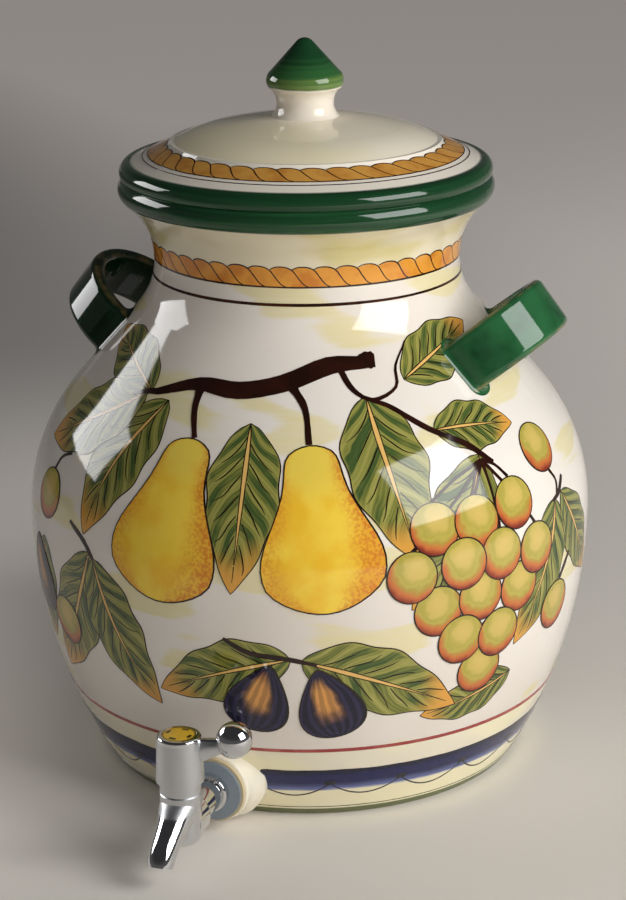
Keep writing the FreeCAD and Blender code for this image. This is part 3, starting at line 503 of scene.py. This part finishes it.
def onWall(azimuth, run, lift):
    radius, level, rise = wallSpot(run)
    side = Vector((sin(azimuth), -cos(azimuth), 0))
    away = side * cos(rise) + Vector((0, 0, sin(rise)))
    return side * radius + Vector((0, 0, level)) + away * lift, away


cone = {"lowRadius": 0.10722, "lowLevel": 0.37989, "slope": radians(23.5)}


def onCone(azimuth, run, lift):
    # The lid's cone, run inwards from its rolled edge
    slope = cone["slope"]
    side = Vector((sin(azimuth), -cos(azimuth), 0))
    away = side * sin(slope) + Vector((0, 0, cos(slope)))
    radius = cone["lowRadius"] - run * cos(slope)
    return side * radius + Vector((0, 0, cone["lowLevel"] + run * sin(slope))) + away * lift, away


# Painted shapes: flat grids drawn in metres, wrapped on the clay and given a thickness

# Each order lies clear above the lines of the one below it
paint = {"fill": 0.0001, "step": 0.00006, "line": 0.00004, "depth": 0.0007, "weld": 1e-6, "sharp": 40}
paint["ink"] = paint["fill"] + paint["line"]


def crowded(share):
    # Shares that lie closer together towards both ends
    return (1 - cos(pi * share)) / 2


def makePiece(name, bm, material):
    mesh = bpy.data.meshes.new(name)
    bm.to_mesh(mesh)
    bm.free()
    mesh.materials.append(material)
    return link(name, mesh)


class Layer:
    # One painted piece in the making
    def __init__(self, surface=onWall):
        self.bm = bmesh.new()
        self.uv = self.bm.loops.layers.uv.new("paint")
        self.surface = surface

    def grid(self, along, across, shape, lift, even=False):
        # shape turns the shares along (0 to 1) and across (-1 to 1) into azimuth and run
        made = bmesh.ops.create_grid(self.bm, x_segments=along, y_segments=across, size=1)["verts"]
        for vertex in made:
            share = (vertex.co.x + 1) / 2
            share = share if even else crowded(share)
            side = vertex.co.y
            for loop in vertex.link_loops:
                loop[self.uv].uv = (share, (side + 1) / 2)
            azimuth, run = shape(share, side)
            vertex.co, _ = self.surface(azimuth, run, lift)

    def ribbon(self, line, width, segments, lift):
        # A stroke along a line of azimuth and run, as wide as width says at each share
        def shape(share, side):
            # The way the line heads, looked at backwards at its very end
            here, nearby = line(share), line(min(share + 0.01, 1) if share < 1 else 0.99)
            ahead = (nearby - here) * (1 if share < 1 else -1)
            radius = self.radiusAt(here)
            ahead = Vector((ahead.x * radius, ahead.y))
            if ahead.length < 1e-9:
                return here
            across = Vector((-ahead.y, ahead.x)).normalized() * (side * width(share) / 2)
            return here.x + across.x / radius, here.y + across.y
        self.grid(segments, 1, shape, lift, even=True)

    def radiusAt(self, here):
        spot, _ = self.surface(here.x, here.y, 0)
        return hypot(spot.x, spot.y)

    def finish(self, name, material, body="vessel", slot="painted_glaze"):
        bm = self.bm
        bmesh.ops.remove_doubles(bm, verts=bm.verts[:], dist=paint["weld"])
        bm.normal_update()
        inward = [face for face in bm.faces if self.facesIn(face)]
        bmesh.ops.reverse_faces(bm, faces=inward)
        bm.normal_update()
        bmesh.ops.solidify(bm, geom=bm.faces[:], thickness=paint["depth"])
        bmesh.ops.recalc_face_normals(bm, faces=bm.faces[:])
        piece = makePiece(name, bm, material)
        for polygon in piece.data.polygons:
            polygon.use_smooth = True
        piece.data.set_sharp_from_angle(angle=radians(paint["sharp"]))
        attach(piece, body)

    def facesIn(self, face):
        # Out and a little up is outwards on the pot's wall and on the lid
        centre = face.calc_center_median()
        return face.normal.dot(Vector((centre.x, centre.y, 0.1 * centre.length))) < 0


class Motif:
    # A flat drawing frame on the pot: an anchor, a turn and lengths in metres
    def __init__(self, azimuth, level, turn=0):
        self.azimuth = radians(azimuth)
        self.run = runAt(level)
        self.turn = Matrix.Rotation(radians(turn), 2)

    def spot(self, point):
        x, y = self.turn @ Vector(point)
        run = self.run + y
        return Vector((self.azimuth + x / wallSpot(run)[0], run))


def through(points):
    # Smooth line through the given points, by share of the way
    spots = [Vector(point) for point in points]
    ends = [spots[0] * 2 - spots[1], *spots, spots[-1] * 2 - spots[-2]]
    count = len(spots) - 1

    def line(share):
        index = min(int(share * count), count - 1)
        s = share * count - index
        a, b, c, d = ends[index:index + 4]
        return 0.5 * (2 * b + (c - a) * s + (2 * a - 5 * b + 4 * c - d) * s ** 2
                      + (3 * b - a - 3 * c + d) * s ** 3)
    return line


def taper(start, middle, end):
    # Width of a brush stroke: it swells and thins as the brush is pressed
    return lambda share: start * (1 - share) ** 2 + 2 * middle * share * (1 - share) + end * share ** 2


leaf = {
    "grid": (26, 12), "blunt": 0.85, "swell": 0.8, "wave": 0.055, "waves": 3.4, "unlike": (0.18, 30),
    "outline": (0.00056, 0.00104, 0.00048), "outlineSegments": 36,
    "veins": 6, "vein": (0.0006, 0.0013, 0.0002), "veinSegments": 8, "veinFrom": 0.08, "veinReach": 0.7,
    "veinLag": 0.045, "veinEnd": (0.66, 0.9), "veinPath": ((0, 0.1), (0.06, 0.3), (0.13, 0.55)),
    "veinLength": 0.17, "rib": (0.0007, 0.0007, 0.0003), "ribSegments": 14, "ribReach": 0.93, "ribHalf": 0.095,
}


def leafEdge(length, width, bow):
    # Midline and half width of a leaf whose base is the motif's own origin
    def spot(share, side):
        half = width / 2 * sin(pi * share ** leaf["swell"]) ** leaf["blunt"]
        # The edge waves, on each side and on leaves of another width in another way
        shift = leaf["unlike"][0] * side + width * leaf["unlike"][1]
        half *= 1 + leaf["wave"] * sin(2 * pi * (leaf["waves"] * share + shift))
        ahead = Vector((1, bow * (1 - 2 * share))).normalized()
        middle = Vector((length * share, length * bow * share * (1 - share)))
        return middle + Vector((-ahead.y, ahead.x)) * half * side
    return spot


def paintLeaf(fills, lines, azimuth, level, turn, length, width, bow, order):
    motif = Motif(azimuth, level, turn)
    edge = leafEdge(length, width, bow)
    lift = paint["fill"] + order * paint["step"]
    ink = lift + paint["line"]
    fills.grid(*leaf["grid"], lambda share, side: motif.spot(edge(share, side)), lift)
    for side in (-1, 1):
        lines.ribbon(lambda share, side=side: motif.spot(edge(share, side)),
                     taper(*leaf["outline"]), leaf["outlineSegments"], ink)
        for number in range(leaf["veins"]):
            start = leaf["veinFrom"] + leaf["veinReach"] * number / leaf["veins"]
            start += leaf["veinLag"] if side > 0 else 0
            far = random.uniform(*leaf["veinEnd"])
            spots = [edge(start + ahead, side * out) for ahead, out in leaf["veinPath"]]
            curve = through([*spots, edge(min(start + leaf["veinLength"], 0.97), side * far)])
            lines.ribbon(lambda share, curve=curve: motif.spot(curve(share)),
                         taper(*leaf["vein"]), leaf["veinSegments"], ink)
    for side in (-1, 1):
        lines.ribbon(lambda share, side=side: motif.spot(
            edge(share * leaf["ribReach"], side * leaf["ribHalf"] * (1 - share) ** 0.8)),
            taper(*leaf["rib"]), leaf["ribSegments"], ink)


def roundHalf(share):
    return 2 * sqrt(max(share * (1 - share), 0))


# Half widths from stalk to eye, and how far the rounding reaches at each end
pear = {"halves": (0.3, 0.42, 0.47, 0.54, 0.66, 0.8, 0.93, 1, 0.98, 0.86, 0.7), "cap": 0.07, "seat": 0.18}
pearLine = through([(0, half) for half in pear["halves"]])


def pearHalf(share):
    # Half width of a pear of half width 1
    cap = sqrt(max(1 - (1 - min(share / pear["cap"], 1)) ** 2, 0))
    seat = sqrt(max(1 - max((share - 1 + pear["seat"]) / pear["seat"], 0) ** 2, 0))
    return pearLine(min(share, 0.9999)).y * cap * seat


def figHalf(share):
    # A narrow neck that swells to a round foot
    return roundHalf(share) * (0.34 + 0.8 * share ** 0.9)


def paintOutlined(fills, lines, spot, order, kind, *widths):
    # A fruit whose spots lie by share of its length and by side, with an ink line down each side
    lift = paint["fill"] + order * paint["step"]
    fills.grid(*kind["grid"], spot, lift)
    for side, width in zip((-1, 1), widths):
        lines.ribbon(lambda share, side=side: spot(crowded(share), side),
                     taper(*width), kind["segments"], lift + paint["line"])


largeFruit = {"grid": (24, 14), "segments": 22, "outline": 0.0009, "press": 0.4}


def paintFruit(fills, lines, half, azimuth, level, turn, length, width, order):
    # The fruit hangs from its stalk at the motif's origin, along the turned x axis
    motif = Motif(azimuth, level, turn)
    line, press = largeFruit["outline"], largeFruit["press"]

    def spot(share, side):
        return motif.spot((length * share, width / 2 * half(share) * side))
    paintOutlined(fills, lines, spot, order, largeFruit,
                  (line, line * (1 - press), line), (line, line * (1 + press), line))


twig = {"segments": 20, "stalkSegments": 10, "order": 3, "bumps": 6, "rough": 0.2}


def paintTwig(lines, turn, points, widths, segments=twig["segments"]):
    # A brush stroke of brown through points given as azimuth in degrees and level
    curve = through([(radians(azimuth + turn), runAt(level)) for azimuth, level in points])
    start = random.random() * 9
    width = taper(*widths)
    lines.ribbon(curve, lambda share: width(share) * (
        1 + twig["rough"] * noise.noise(Vector((share * twig["bumps"], start, 0)))),
        segments, paint["ink"] + twig["order"] * paint["step"])


print("tools ready")


# Paints of the picture

leafColours = {
    "dull": tone(112, 116, 52), "light": tone(158, 154, 80), "deep": tone(56, 82, 42),
    "bright": tone(186, 178, 104), "worn": tone(222, 160, 70), "margin": tone(176, 166, 88),
    "rib": tone(232, 186, 108),
    "raggedScale": 60.0, "bendScale": 24.0, "patchScale": 34.0, "strokes": 6.2, "lean": 1.5, "wander": 1.9,
    "fineStrokes": 4.3, "fineRange": (-0.6, 0.9), "lightRange": (-0.3, 0.9), "patchRange": (0.42, 0.66),
    "deepRange": (-0.55, 0.35), "brightRange": (0.62, 1.0), "wornRange": (0.88, 1.14),
    "marginRange": (0.97, 1.1), "ribRange": (0.07, 0.1),
}


def leafPaint():
    c = leafColours
    finish, where = glazing("leafPaint")
    along, across = finish.paintCoordinates()
    side = across.maths("ABSOLUTE")
    ragged = finish.speckle(where, c["raggedScale"])
    bend = finish.speckle(where, c["bendScale"], 1.0)
    phase = along * c["strokes"] - side * c["lean"] + bend * c["wander"]
    strokes = (phase * 2 * pi).maths("SINE")
    fine = ((phase * c["fineStrokes"] + ragged * 1.4) * 2 * pi).maths("SINE")
    fine = finish.ease(fine, *c["fineRange"])
    light = finish.ease(strokes, *c["lightRange"])
    shade = finish.blend(c["dull"], c["light"], light * 0.55 + fine * 0.45)
    patch = finish.ease(finish.speckle(where, c["patchScale"]) + (1 - along) * 0.16, *c["patchRange"])
    deep = (1 - finish.ease(strokes + fine * 0.5, *c["deepRange"])) * patch
    shade = finish.blend(shade, c["deep"], deep * 0.88)
    bright = finish.ease(strokes - fine * 0.3, *c["brightRange"]) * (1 - patch)
    shade = finish.blend(shade, c["bright"], bright * 0.6)
    shade = finish.blend(shade, c["worn"], finish.ease(along + bend * 0.3 + side * 0.06, *c["wornRange"]))
    shade = finish.blend(shade, c["margin"], finish.ease(side + ragged * 0.15, *c["marginRange"]) * 0.7)
    rib = 1 - finish.ease(side + along * 0.085, *c["ribRange"])
    return finish.glazed(where, finish.blend(shade, c["rib"], rib))


pearColours = {
    "pale": tone(252, 214, 74), "yellow": tone(246, 194, 52), "neck": tone(226, 206, 96),
    "rim": tone(226, 150, 48), "blush": tone(214, 118, 46), "brushScale": 45.0,
    "stipple": {"scale": 520.0, "range": (0.42, 0.6)}, "yellowRange": (0.38, 0.66), "neckRange": (0.22, 0.5),
    "rimRange": (0.85, 1.35), "blushRange": (0.75, 1.35),
}


def pearPaint():
    c = pearColours
    finish, where = glazing("pearPaint")
    along, across = finish.paintCoordinates()
    side = across.maths("ABSOLUTE")
    brush = finish.speckle(where, c["brushScale"], 3.0)
    stipple = finish.clouds(where, c["stipple"])
    shade = finish.blend(c["pale"], c["yellow"], finish.ease(brush, *c["yellowRange"]))
    neck = 1 - finish.ease(along + brush * 0.2, *c["neckRange"])
    shade = finish.blend(shade, c["neck"], neck * 0.45)
    rim = finish.ease(side + along * 0.25 + brush * 0.35, *c["rimRange"])
    shade = finish.blend(shade, c["rim"], rim * (stipple * 0.5 + 0.4))
    blush = finish.ease(across + along * 0.5 + brush * 0.4, *c["blushRange"])
    return finish.glazed(where, finish.blend(shade, c["blush"], blush * (stipple * 0.45 + 0.22)))


cherryColours = {
    "green": tone(172, 160, 70), "light": tone(192, 174, 84), "heart": tone(218, 188, 106),
    "blush": tone(202, 104, 58), "deep": tone(128, 44, 34), "brushScale": 110.0, "heartPlace": (-0.22, 0.22),
    "hairs": 17, "hairRange": (-0.6, 1.0), "heartRange": (0.42, 1.02), "blushRange": (0.98, 1.32),
    "deepRange": (1.2, 1.5),
}


def cherryPaint():
    # Yellow-green with a pale heart, and a red cheek that the brush drew round one side
    c = cherryColours
    finish, where = glazing("cherryPaint")
    along, across = finish.paintCoordinates()
    x = along * 2 - 1
    y = across * (1 - x * x).maths("MAXIMUM", 0.0) ** 0.5
    brush = finish.speckle(where, c["brushScale"], 3.0)
    fromX, fromY = x - c["heartPlace"][0], y - c["heartPlace"][1]
    reach = (fromX * fromX + fromY * fromY) ** 0.5
    hairs = finish.ease((reach * c["hairs"] + brush * 15 + x * 2).maths("SINE"), *c["hairRange"])
    shade = finish.blend(c["green"], c["light"], hairs * 0.6)
    heart = 1 - finish.ease(reach + brush * 0.5, *c["heartRange"])
    shade = finish.blend(shade, c["heart"], heart * 0.8)
    shade = finish.blend(shade, c["blush"], finish.ease(reach + brush * 0.5, *c["blushRange"]) * 0.92)
    deep = finish.ease(reach + brush * 0.4, *c["deepRange"])
    return finish.glazed(where, finish.blend(shade, c["deep"], deep))


figColours = {
    "dark": tone(26, 25, 46), "violet": tone(48, 42, 70), "glow": tone(224, 158, 82), "brushScale": 70.0,
    "hairs": 3.4, "hairRange": (-0.3, 0.7), "glowAcross": -0.12, "glowLean": 0.4, "glowRange": (0.42, 0.8),
    "glowStart": (0.16, 0.4), "glowEnd": (0.66, 0.98),
}


def figPaint():
    c = figColours
    finish, where = glazing("figPaint")
    along, across = finish.paintCoordinates()
    brush = finish.speckle(where, c["brushScale"], 3.0)
    hairs = finish.ease(((across * c["hairs"] + brush) * 2 * pi).maths("SINE"), *c["hairRange"])
    shade = finish.blend(c["dark"], c["violet"], hairs)
    away = (across - c["glowAcross"] - (along - 0.4) * c["glowLean"]).maths("ABSOLUTE")
    glow = 1 - finish.ease(away + brush * 0.5, *c["glowRange"])
    glow = glow * finish.ease(along + brush * 0.2, *c["glowStart"])
    glow = glow * (1 - finish.ease(along + brush * 0.3, *c["glowEnd"]))
    return finish.glazed(where, finish.blend(shade, c["glow"], glow * (hairs * 0.35 + 0.62)))


lineBrush = {"scale": 60.0, "detail": 3.0, "range": (0.4, 0.75)}
ropeBrush = {"scale": 75.0, "detail": 3.0, "range": (0.4, 0.72)}


def plainPaint(name, first, second, brush=lineBrush):
    finish, where = glazing(name)
    return finish.glazed(where, finish.blend(first, second, finish.clouds(where, brush)))


cobaltColours = {
    "blue": tone(21, 27, 80), "deep": tone(12, 13, 26), "watered": tone(104, 114, 166),
    "clay": tone(236, 228, 206), "flowScale": 38.0, "streaks": (16, 16, 520),
    "deepRange": (0.65, 1.4), "wateredRange": (-0.62, 0.16), "clayRange": (-0.74, -0.42),
}


def cobaltPaint():
    # Deep at its upper edge, drawn out downwards with water
    c = cobaltColours
    finish, where = glazing("cobaltPaint")
    _, across = finish.paintCoordinates()
    flow = finish.speckle(where, c["flowScale"], 3.0)
    level = across + flow * 0.35 + finish.speckle(finish.stretch(where, c["streaks"]), 1.0) * 0.3
    shade = finish.blend(c["blue"], c["deep"], finish.ease(level, *c["deepRange"]))
    shade = finish.blend(shade, c["watered"], 1 - finish.ease(level, *c["wateredRange"]))
    gone = 1 - finish.ease(level, *c["clayRange"])
    return finish.glazed(where, finish.blend(shade, c["clay"], gone))


# Bands and rules round the pot and lid

rule = {"segments": 180, "wobble": 0.00012, "sway": (2, 50), "uneven": 0.3, "press": (1.5, 90)}


def ringRule(layer, run, width, lift=paint["fill"]):
    # A line round the pot from a brush held still while the wheel turns
    def drift(share, size, seed):
        turn = share * 2 * pi
        return noise.noise(Vector((cos(turn) * size, sin(turn) * size, run * seed)))

    layer.ribbon(lambda share: Vector((share * 2 * pi, run + rule["wobble"] * drift(share, *rule["sway"]))),
                 lambda share: width * (1 + rule["uneven"] * drift(share, *rule["press"])),
                 rule["segments"], lift)


rope = {
    "stroke": ((0, 0.93), (0.28, 1.06), (0.68, 1.05), (1.0, 0.88), (1.24, 0.52), (1.5, 0.16), (1.78, 0.0)),
    "ends": (0.0006, 0.0005), "middle": (0.0009, 0.0013), "segments": 20, "uneven": 0.05,
    "valley": 0.91, "bulge": 0.13, "bulgePower": 0.7, "columns": 6, "rows": 8,
}

ropes = {
    "neckRope": {
        "surface": onWall, "low": runAt(0.3208), "high": runAt(0.3328), "twists": 46,
        "body": "vessel", "slot": "painted_glaze",
        "paint": ("ropeOrange", tone(228, 156, 60), tone(208, 126, 40)),
        "rules": [(runAt(0.3208), 0.0012), (runAt(0.3103), 0.0018)],
    },
    "lidRope": {
        "surface": onCone, "low": 0.0108, "high": 0.0235, "twists": 38,
        "body": "lid", "slot": "lid_glaze",
        "paint": ("lidOrange", tone(220, 160, 74), tone(198, 132, 54)),
        "rules": [(0.0108, 0.0007), (0.0073, 0.0006), (0.0256, 0.0007), (0.0277, 0.0006)],
    },
}


def ropeBand(name, own, ink):
    # Orange band that bulges at each twist; a stroke runs over each bulge and down between two
    low, height = own["low"], own["high"] - own["low"]
    pitch = 2 * pi / own["twists"]

    def shape(share, side):
        azimuth = share * 2 * pi
        bulge = rope["bulge"] * abs(sin(azimuth / pitch * pi)) ** rope["bulgePower"]
        return azimuth, low + (side + 1) / 2 * height * (rope["valley"] + bulge)

    fill = Layer(own["surface"])
    fill.grid(own["twists"] * rope["columns"], rope["rows"], shape, paint["fill"], even=True)
    fill.finish(name + "Fill", plainPaint(*own["paint"], ropeBrush), own["body"], own["slot"])
    strokes = Layer(own["surface"])
    for number in range(own["twists"]):
        start = number + random.uniform(-rope["uneven"], rope["uneven"])
        curve = through([((start + share) * pitch, low + height * part) for share, part in rope["stroke"]])
        widths = (rope["ends"][0], random.uniform(*rope["middle"]), rope["ends"][1])
        strokes.ribbon(curve, taper(*widths), rope["segments"], paint["ink"])
    for run, width in own["rules"]:
        ringRule(strokes, run, width, paint["ink"])
    strokes.finish(name + "Strokes", ink, own["body"], own["slot"])


# Level, width and paint of the rules near the foot
footRules = {
    "redRule": (0.0535, 0.0026, "ruleRed", tone(158, 62, 58), tone(182, 96, 86)),
    "footRule": (0.0064, 0.0006, "ruleOlive", tone(84, 90, 62), tone(118, 120, 88)),
}


def paintBands():
    ink = plainPaint("ropeBrown", tone(44, 22, 12), tone(74, 38, 20))
    for name, own in ropes.items():
        ropeBand(name, own, ink)
    for name, (level, width, *colours) in footRules.items():
        layer = Layer()
        ringRule(layer, runAt(level), width)
        layer.finish(name, plainPaint(*colours))


cobalt = {
    "top": 0.0379, "height": 0.0188, "from": 7.7, "columns": 12, "rows": 8, "endRadius": 0.006, "sway": 0.0005,
    "swayTurns": 9, "scallops": 20, "node": 0.0116, "dip": 0.0122, "dips": (0.88, 1.08), "hang": 0.75,
    "stroke": (0.001, 0.0009, 0.001), "segments": 24,
    "dot": 0.0042, "dots": (0.8, 1.2), "dotHeight": 0.004, "dotTilt": 0.001, "dotSegments": 8,
    "tones": (tone(24, 23, 34), tone(40, 38, 50)),
}


def paintCobalt():
    c = cobalt
    top, start = runAt(c["top"]), radians(c["from"])
    span = 2 * pi - 2 * start
    step = span / c["scallops"]
    middle = top - c["height"] / 2

    def rounded(azimuth):
        # The band's two ends beside the tap are round brush marks
        near = min(azimuth - start, start + span - azimuth) * wallSpot(top)[0]
        share = min(max(near / c["endRadius"], 0.001), 1)
        return sqrt(share * (2 - share))

    def shape(share, side):
        azimuth = start + share * span
        sway = c["sway"] * noise.noise(Vector((azimuth * c["swayTurns"], side * 2, 0)))
        return azimuth, middle + c["height"] / 2 * side * rounded(azimuth) + sway

    fill = Layer()
    fill.grid(c["scallops"] * c["columns"], c["rows"], shape, paint["fill"], even=True)
    fill.finish("cobaltBand", cobaltPaint())
    strokes = Layer()
    for number in range(c["scallops"]):
        first = start + number * step
        depth = c["dip"] * random.uniform(*c["dips"])
        strokes.ribbon(lambda share, first=first, depth=depth: Vector((
            first + share * step, top - c["node"] - depth * sin(pi * share) ** c["hang"])),
            taper(*c["stroke"]), c["segments"], paint["ink"])
    for number in range(c["scallops"] + 1):
        spot = start + number * step
        half = c["dot"] * random.uniform(*c["dots"]) / wallSpot(top)[0]
        strokes.ribbon(lambda share, spot=spot, half=half: Vector((
            spot + (share * 2 - 1) * half, top - c["node"] + (share - 0.5) * c["dotTilt"])),
            lambda share: c["dotHeight"] * roundHalf(share * 0.96 + 0.02), c["dotSegments"],
            paint["ink"] + paint["line"])
    strokes.finish("cobaltScallops", plainPaint("scallopBlack", *c["tones"]))


# The picture: fruit boughs in two halves, round the front and round the back

boughs = {
    "wood": [
        ([(-22, 0.259), (-10, 0.2665), (2, 0.2655), (14, 0.27), (27, 0.2785), (39, 0.279)],
         (0.005, 0.018, 0.0075)),
        ([(36.5, 0.2785), (38.5, 0.28), (41, 0.2795)], (0.007, 0.013, 0.009)),
        ([(-9, 0.265), (-8.5, 0.254), (-6, 0.2405)], (0.006, 0.003, 0.0036)),
        ([(16, 0.27), (20, 0.258), (21, 0.2405)], (0.006, 0.003, 0.0036)),
        ([(30, 0.277), (33, 0.266), (38, 0.2605), (45, 0.2655), (47, 0.276), (53, 0.287)],
         (0.0036, 0.002, 0.001)),
        ([(37, 0.2605), (42, 0.256), (50, 0.243), (58, 0.232), (63, 0.22)], (0.0022, 0.0046, 0.0036)),
        ([(-22, 0.259), (-26, 0.2575), (-30, 0.2545)], (0.0046, 0.003, 0.002)),
        ([(4, 0.13), (9, 0.122), (16, 0.119), (22, 0.115)], (0.002, 0.0042, 0.002)),
        ([(-34, 0.18), (-29, 0.172), (-26, 0.163)], (0.002, 0.004, 0.0022)),
        ([(84, 0.198), (81, 0.19), (78, 0.187)], (0.002, 0.0034, 0.002)),
        ([(80, 0.189), (81, 0.197), (79.5, 0.205)], (0.002, 0.0014, 0.002)),
        ([(-40, 0.216), (-43.5, 0.211), (-45, 0.203)], (0.0024, 0.0014, 0.002)),
        ([(84, 0.15), (82, 0.143), (80, 0.136)], (0.002, 0.0034, 0.0024)),
    ],
    "leaves": [
        (-24, 0.2585, 158, 0.074, 0.037, -0.14, 0), (-25, 0.2575, -148, 0.096, 0.046, 0.14, 1),
        (-17, 0.256, -112, 0.1, 0.043, -0.12, 0), (7, 0.25, -92, 0.102, 0.044, 0.1, 2),
        (36, 0.2625, -80, 0.104, 0.05, -0.12, 2), (48, 0.2685, 22, 0.07, 0.036, 0.12, 0),
        (51, 0.242, -8, 0.062, 0.032, 0.14, 1), (60, 0.226, -126, 0.104, 0.046, 0.12, 1),
        (17, 0.1185, -160, 0.088, 0.04, -0.14, 0), (19, 0.1175, -24, 0.104, 0.045, 0.14, 1),
        (-27, 0.166, -118, 0.104, 0.046, 0.14, 1), (-26, 0.163, -64, 0.096, 0.042, -0.14, 2),
        (79, 0.188, -116, 0.092, 0.042, 0.12, 0), (82, 0.19, -54, 0.08, 0.036, -0.12, 0),
        (-46, 0.16, -100, 0.074, 0.034, 0.12, 0), (66, 0.088, -166, 0.066, 0.03, 0.12, 0),
    ],
}

fruits = {
    "pears": [(-6, 0.24, -97, 0.1, 0.071, 4), (21, 0.24, -84, 0.1, 0.073, 4)],
    "figs": [(13, 0.1135, -108, 0.048, 0.046, 4), (22, 0.1115, -74, 0.05, 0.047, 5),
             (-50, 0.158, -84, 0.05, 0.046, 4)],
    "node": (60, 0.223),
    "cluster": [(66, 0.194), (46, 0.19), (56, 0.192), (61, 0.169), (41, 0.166), (71, 0.166), (51, 0.168),
                (46, 0.143), (66, 0.144), (56, 0.145), (51, 0.12), (61, 0.119), (56, 0.096)],
    "stalked": 7, "stalk": (0.0026, 0.0012, 0.0022), "stray": (0.8, 0.002),
    "loose": [(78.5, 0.219), (79, 0.12), (-45, 0.188), (-38, 0.112)],
}

cherry = {"order": 4, "radius": 0.0157, "grid": (14, 10), "segments": 16, "outline": (0.0006, 0.0012, 0.0006),
          "turns": (-78, -38)}


def paintCherry(fills, lines, azimuth, level, order):
    # A round fruit about its centre, its blush turned a little differently each time
    motif, radius = Motif(azimuth, level), cherry["radius"]
    spin = Matrix.Rotation(radians(random.uniform(*cherry["turns"])), 2)
    paintOutlined(fills, lines, lambda share, side: motif.spot(
        spin @ Vector((radius * (2 * share - 1), radius * roundHalf(share) * side))),
        cherry["order"] + order, cherry, cherry["outline"], cherry["outline"])


def overlapOrders(spots):
    # An order for each round fruit that none of the ones it touches has
    orders = []
    reach = cherry["radius"] * 2.1
    for number, (azimuth, level) in enumerate(spots):
        taken = {orders[other] for other in range(number) if hypot(
            radians(azimuth - spots[other][0]) * wall["bellyRadius"], level - spots[other][1]) < reach}
        orders.append(next(order for order in range(9) if order not in taken))
    return orders


def paintHalf(name, turn, paints):
    layers = {kind: Layer() for kind in paints}
    lines, wood = layers["inkLines"], layers["boughs"]
    for azimuth, *own in boughs["leaves"]:
        paintLeaf(layers["leaves"], lines, azimuth + turn, *own)
    for points, widths in boughs["wood"]:
        paintTwig(wood, turn, points, widths)
    for kind, half in (("pears", pearHalf), ("figs", figHalf)):
        for azimuth, *own in fruits[kind]:
            paintFruit(layers[kind], lines, half, azimuth + turn, *own)
    node, (sideways, upwards) = fruits["node"], fruits["stray"]
    orders = overlapOrders(fruits["cluster"])
    for number, (azimuth, level) in enumerate(fruits["cluster"]):
        azimuth += random.uniform(-sideways, sideways)
        level += random.uniform(-upwards, upwards)
        if number < fruits["stalked"]:
            tip = (azimuth, level + cherry["radius"] * 0.95)
            middle = (node[0] * 0.45 + tip[0] * 0.55, node[1] * 0.42 + tip[1] * 0.58 + 0.003)
            paintTwig(wood, turn, [node, middle, tip], fruits["stalk"], twig["stalkSegments"])
        paintCherry(layers["cherries"], lines, azimuth + turn, level, orders[number])
    for (azimuth, level), order in zip(fruits["loose"], overlapOrders(fruits["loose"])):
        paintCherry(layers["cherries"], lines, azimuth + turn, level, order)
    for kind, layer in layers.items():
        layer.finish(kind + name, paints[kind])


def paintPicture():
    paints = {"leaves": leafPaint(), "pears": pearPaint(), "cherries": cherryPaint(), "figs": figPaint(),
              "boughs": plainPaint("boughBrown", tone(34, 14, 8), tone(52, 22, 13)),
              "inkLines": plainPaint("inkBrown", tone(34, 24, 16), tone(58, 46, 26))}
    for name, turn in (("Front", 0), ("Back", 180)):
        paintHalf(name, turn, paints)
        print("picture painted:", name)


# Floor and air

def addFloor():
    bm = bmesh.new()
    bmesh.ops.create_circle(bm, cap_ends=True, segments=96, radius=room["floorRadius"])
    finish = Finish("studioFloor", {"Roughness": 0.6, "Specular IOR Level": 0.25})
    x, y, _ = finish.split(finish.place())
    turn = radians(view["azimuth"])
    behind = y * cos(turn) - x * sin(turn)
    beside = x * cos(turn) + y * sin(turn)
    # Painted shade: the floor's colour darkens away from the camera and towards the left, where less lamp light
    # falls
    dim = finish.ease(behind - beside * room["slant"], *room["floorShadeRange"])
    finish.feed(Base_Color=finish.blend(tone(*room["nearFloor"]), tone(*room["shadedFloor"]), dim))
    # The backdrop's glow, which the object mirrors but isn't lit by
    seen = finish.add("ShaderNodeLightPath", output="Is Camera Ray")
    for ray in ("Is Glossy Ray", "Is Transmission Ray"):
        seen = seen.maths("MAXIMUM", finish.add("ShaderNodeLightPath", output=ray))
    left = (1 - finish.ease(beside, *room["leftSide"])) * finish.ease(behind, *room["leftStart"])
    left = left * (1 - finish.ease(behind, *room["leftEnd"]) * room["leftFade"]) * room["leftGlow"]
    far = finish.ease(behind + beside * room["slant"], *room["glowRange"])
    glow = (far + left).maths("MINIMUM", 1.0)
    finish.feed(Emission_Color=finish.blend((0, 0, 0, 1), (*room["farGlow"], 1), glow * seen),
                Emission_Strength=1.0)
    makePiece("floor", bm, finish.material)


def addAir():
    # A dark room overhead, paler towards the horizon
    world = bpy.data.worlds.new("studio")
    world.use_nodes = True
    air = Nodes(world.node_tree)
    _, _, height = air.split(air.add("ShaderNodeTexCoord", output="Generated"))
    colour = air.blend((*room["horizon"], 1), (*room["zenith"], 1), air.ease(height, 0.0, room["skyTo"]))
    air.plug(air.tree.nodes["Background"].inputs["Color"], colour)
    scene.world = world


scene.view_settings.view_transform = "Standard"
addCamera()
for lampName, lamp in lamps.items():
    addLamp(lampName, lamp)
addFloor()
addAir()
print("stage set")
dressNodes()
print("CAD nodes dressed")
paintBands()
paintCobalt()
print("bands painted")
paintPicture()
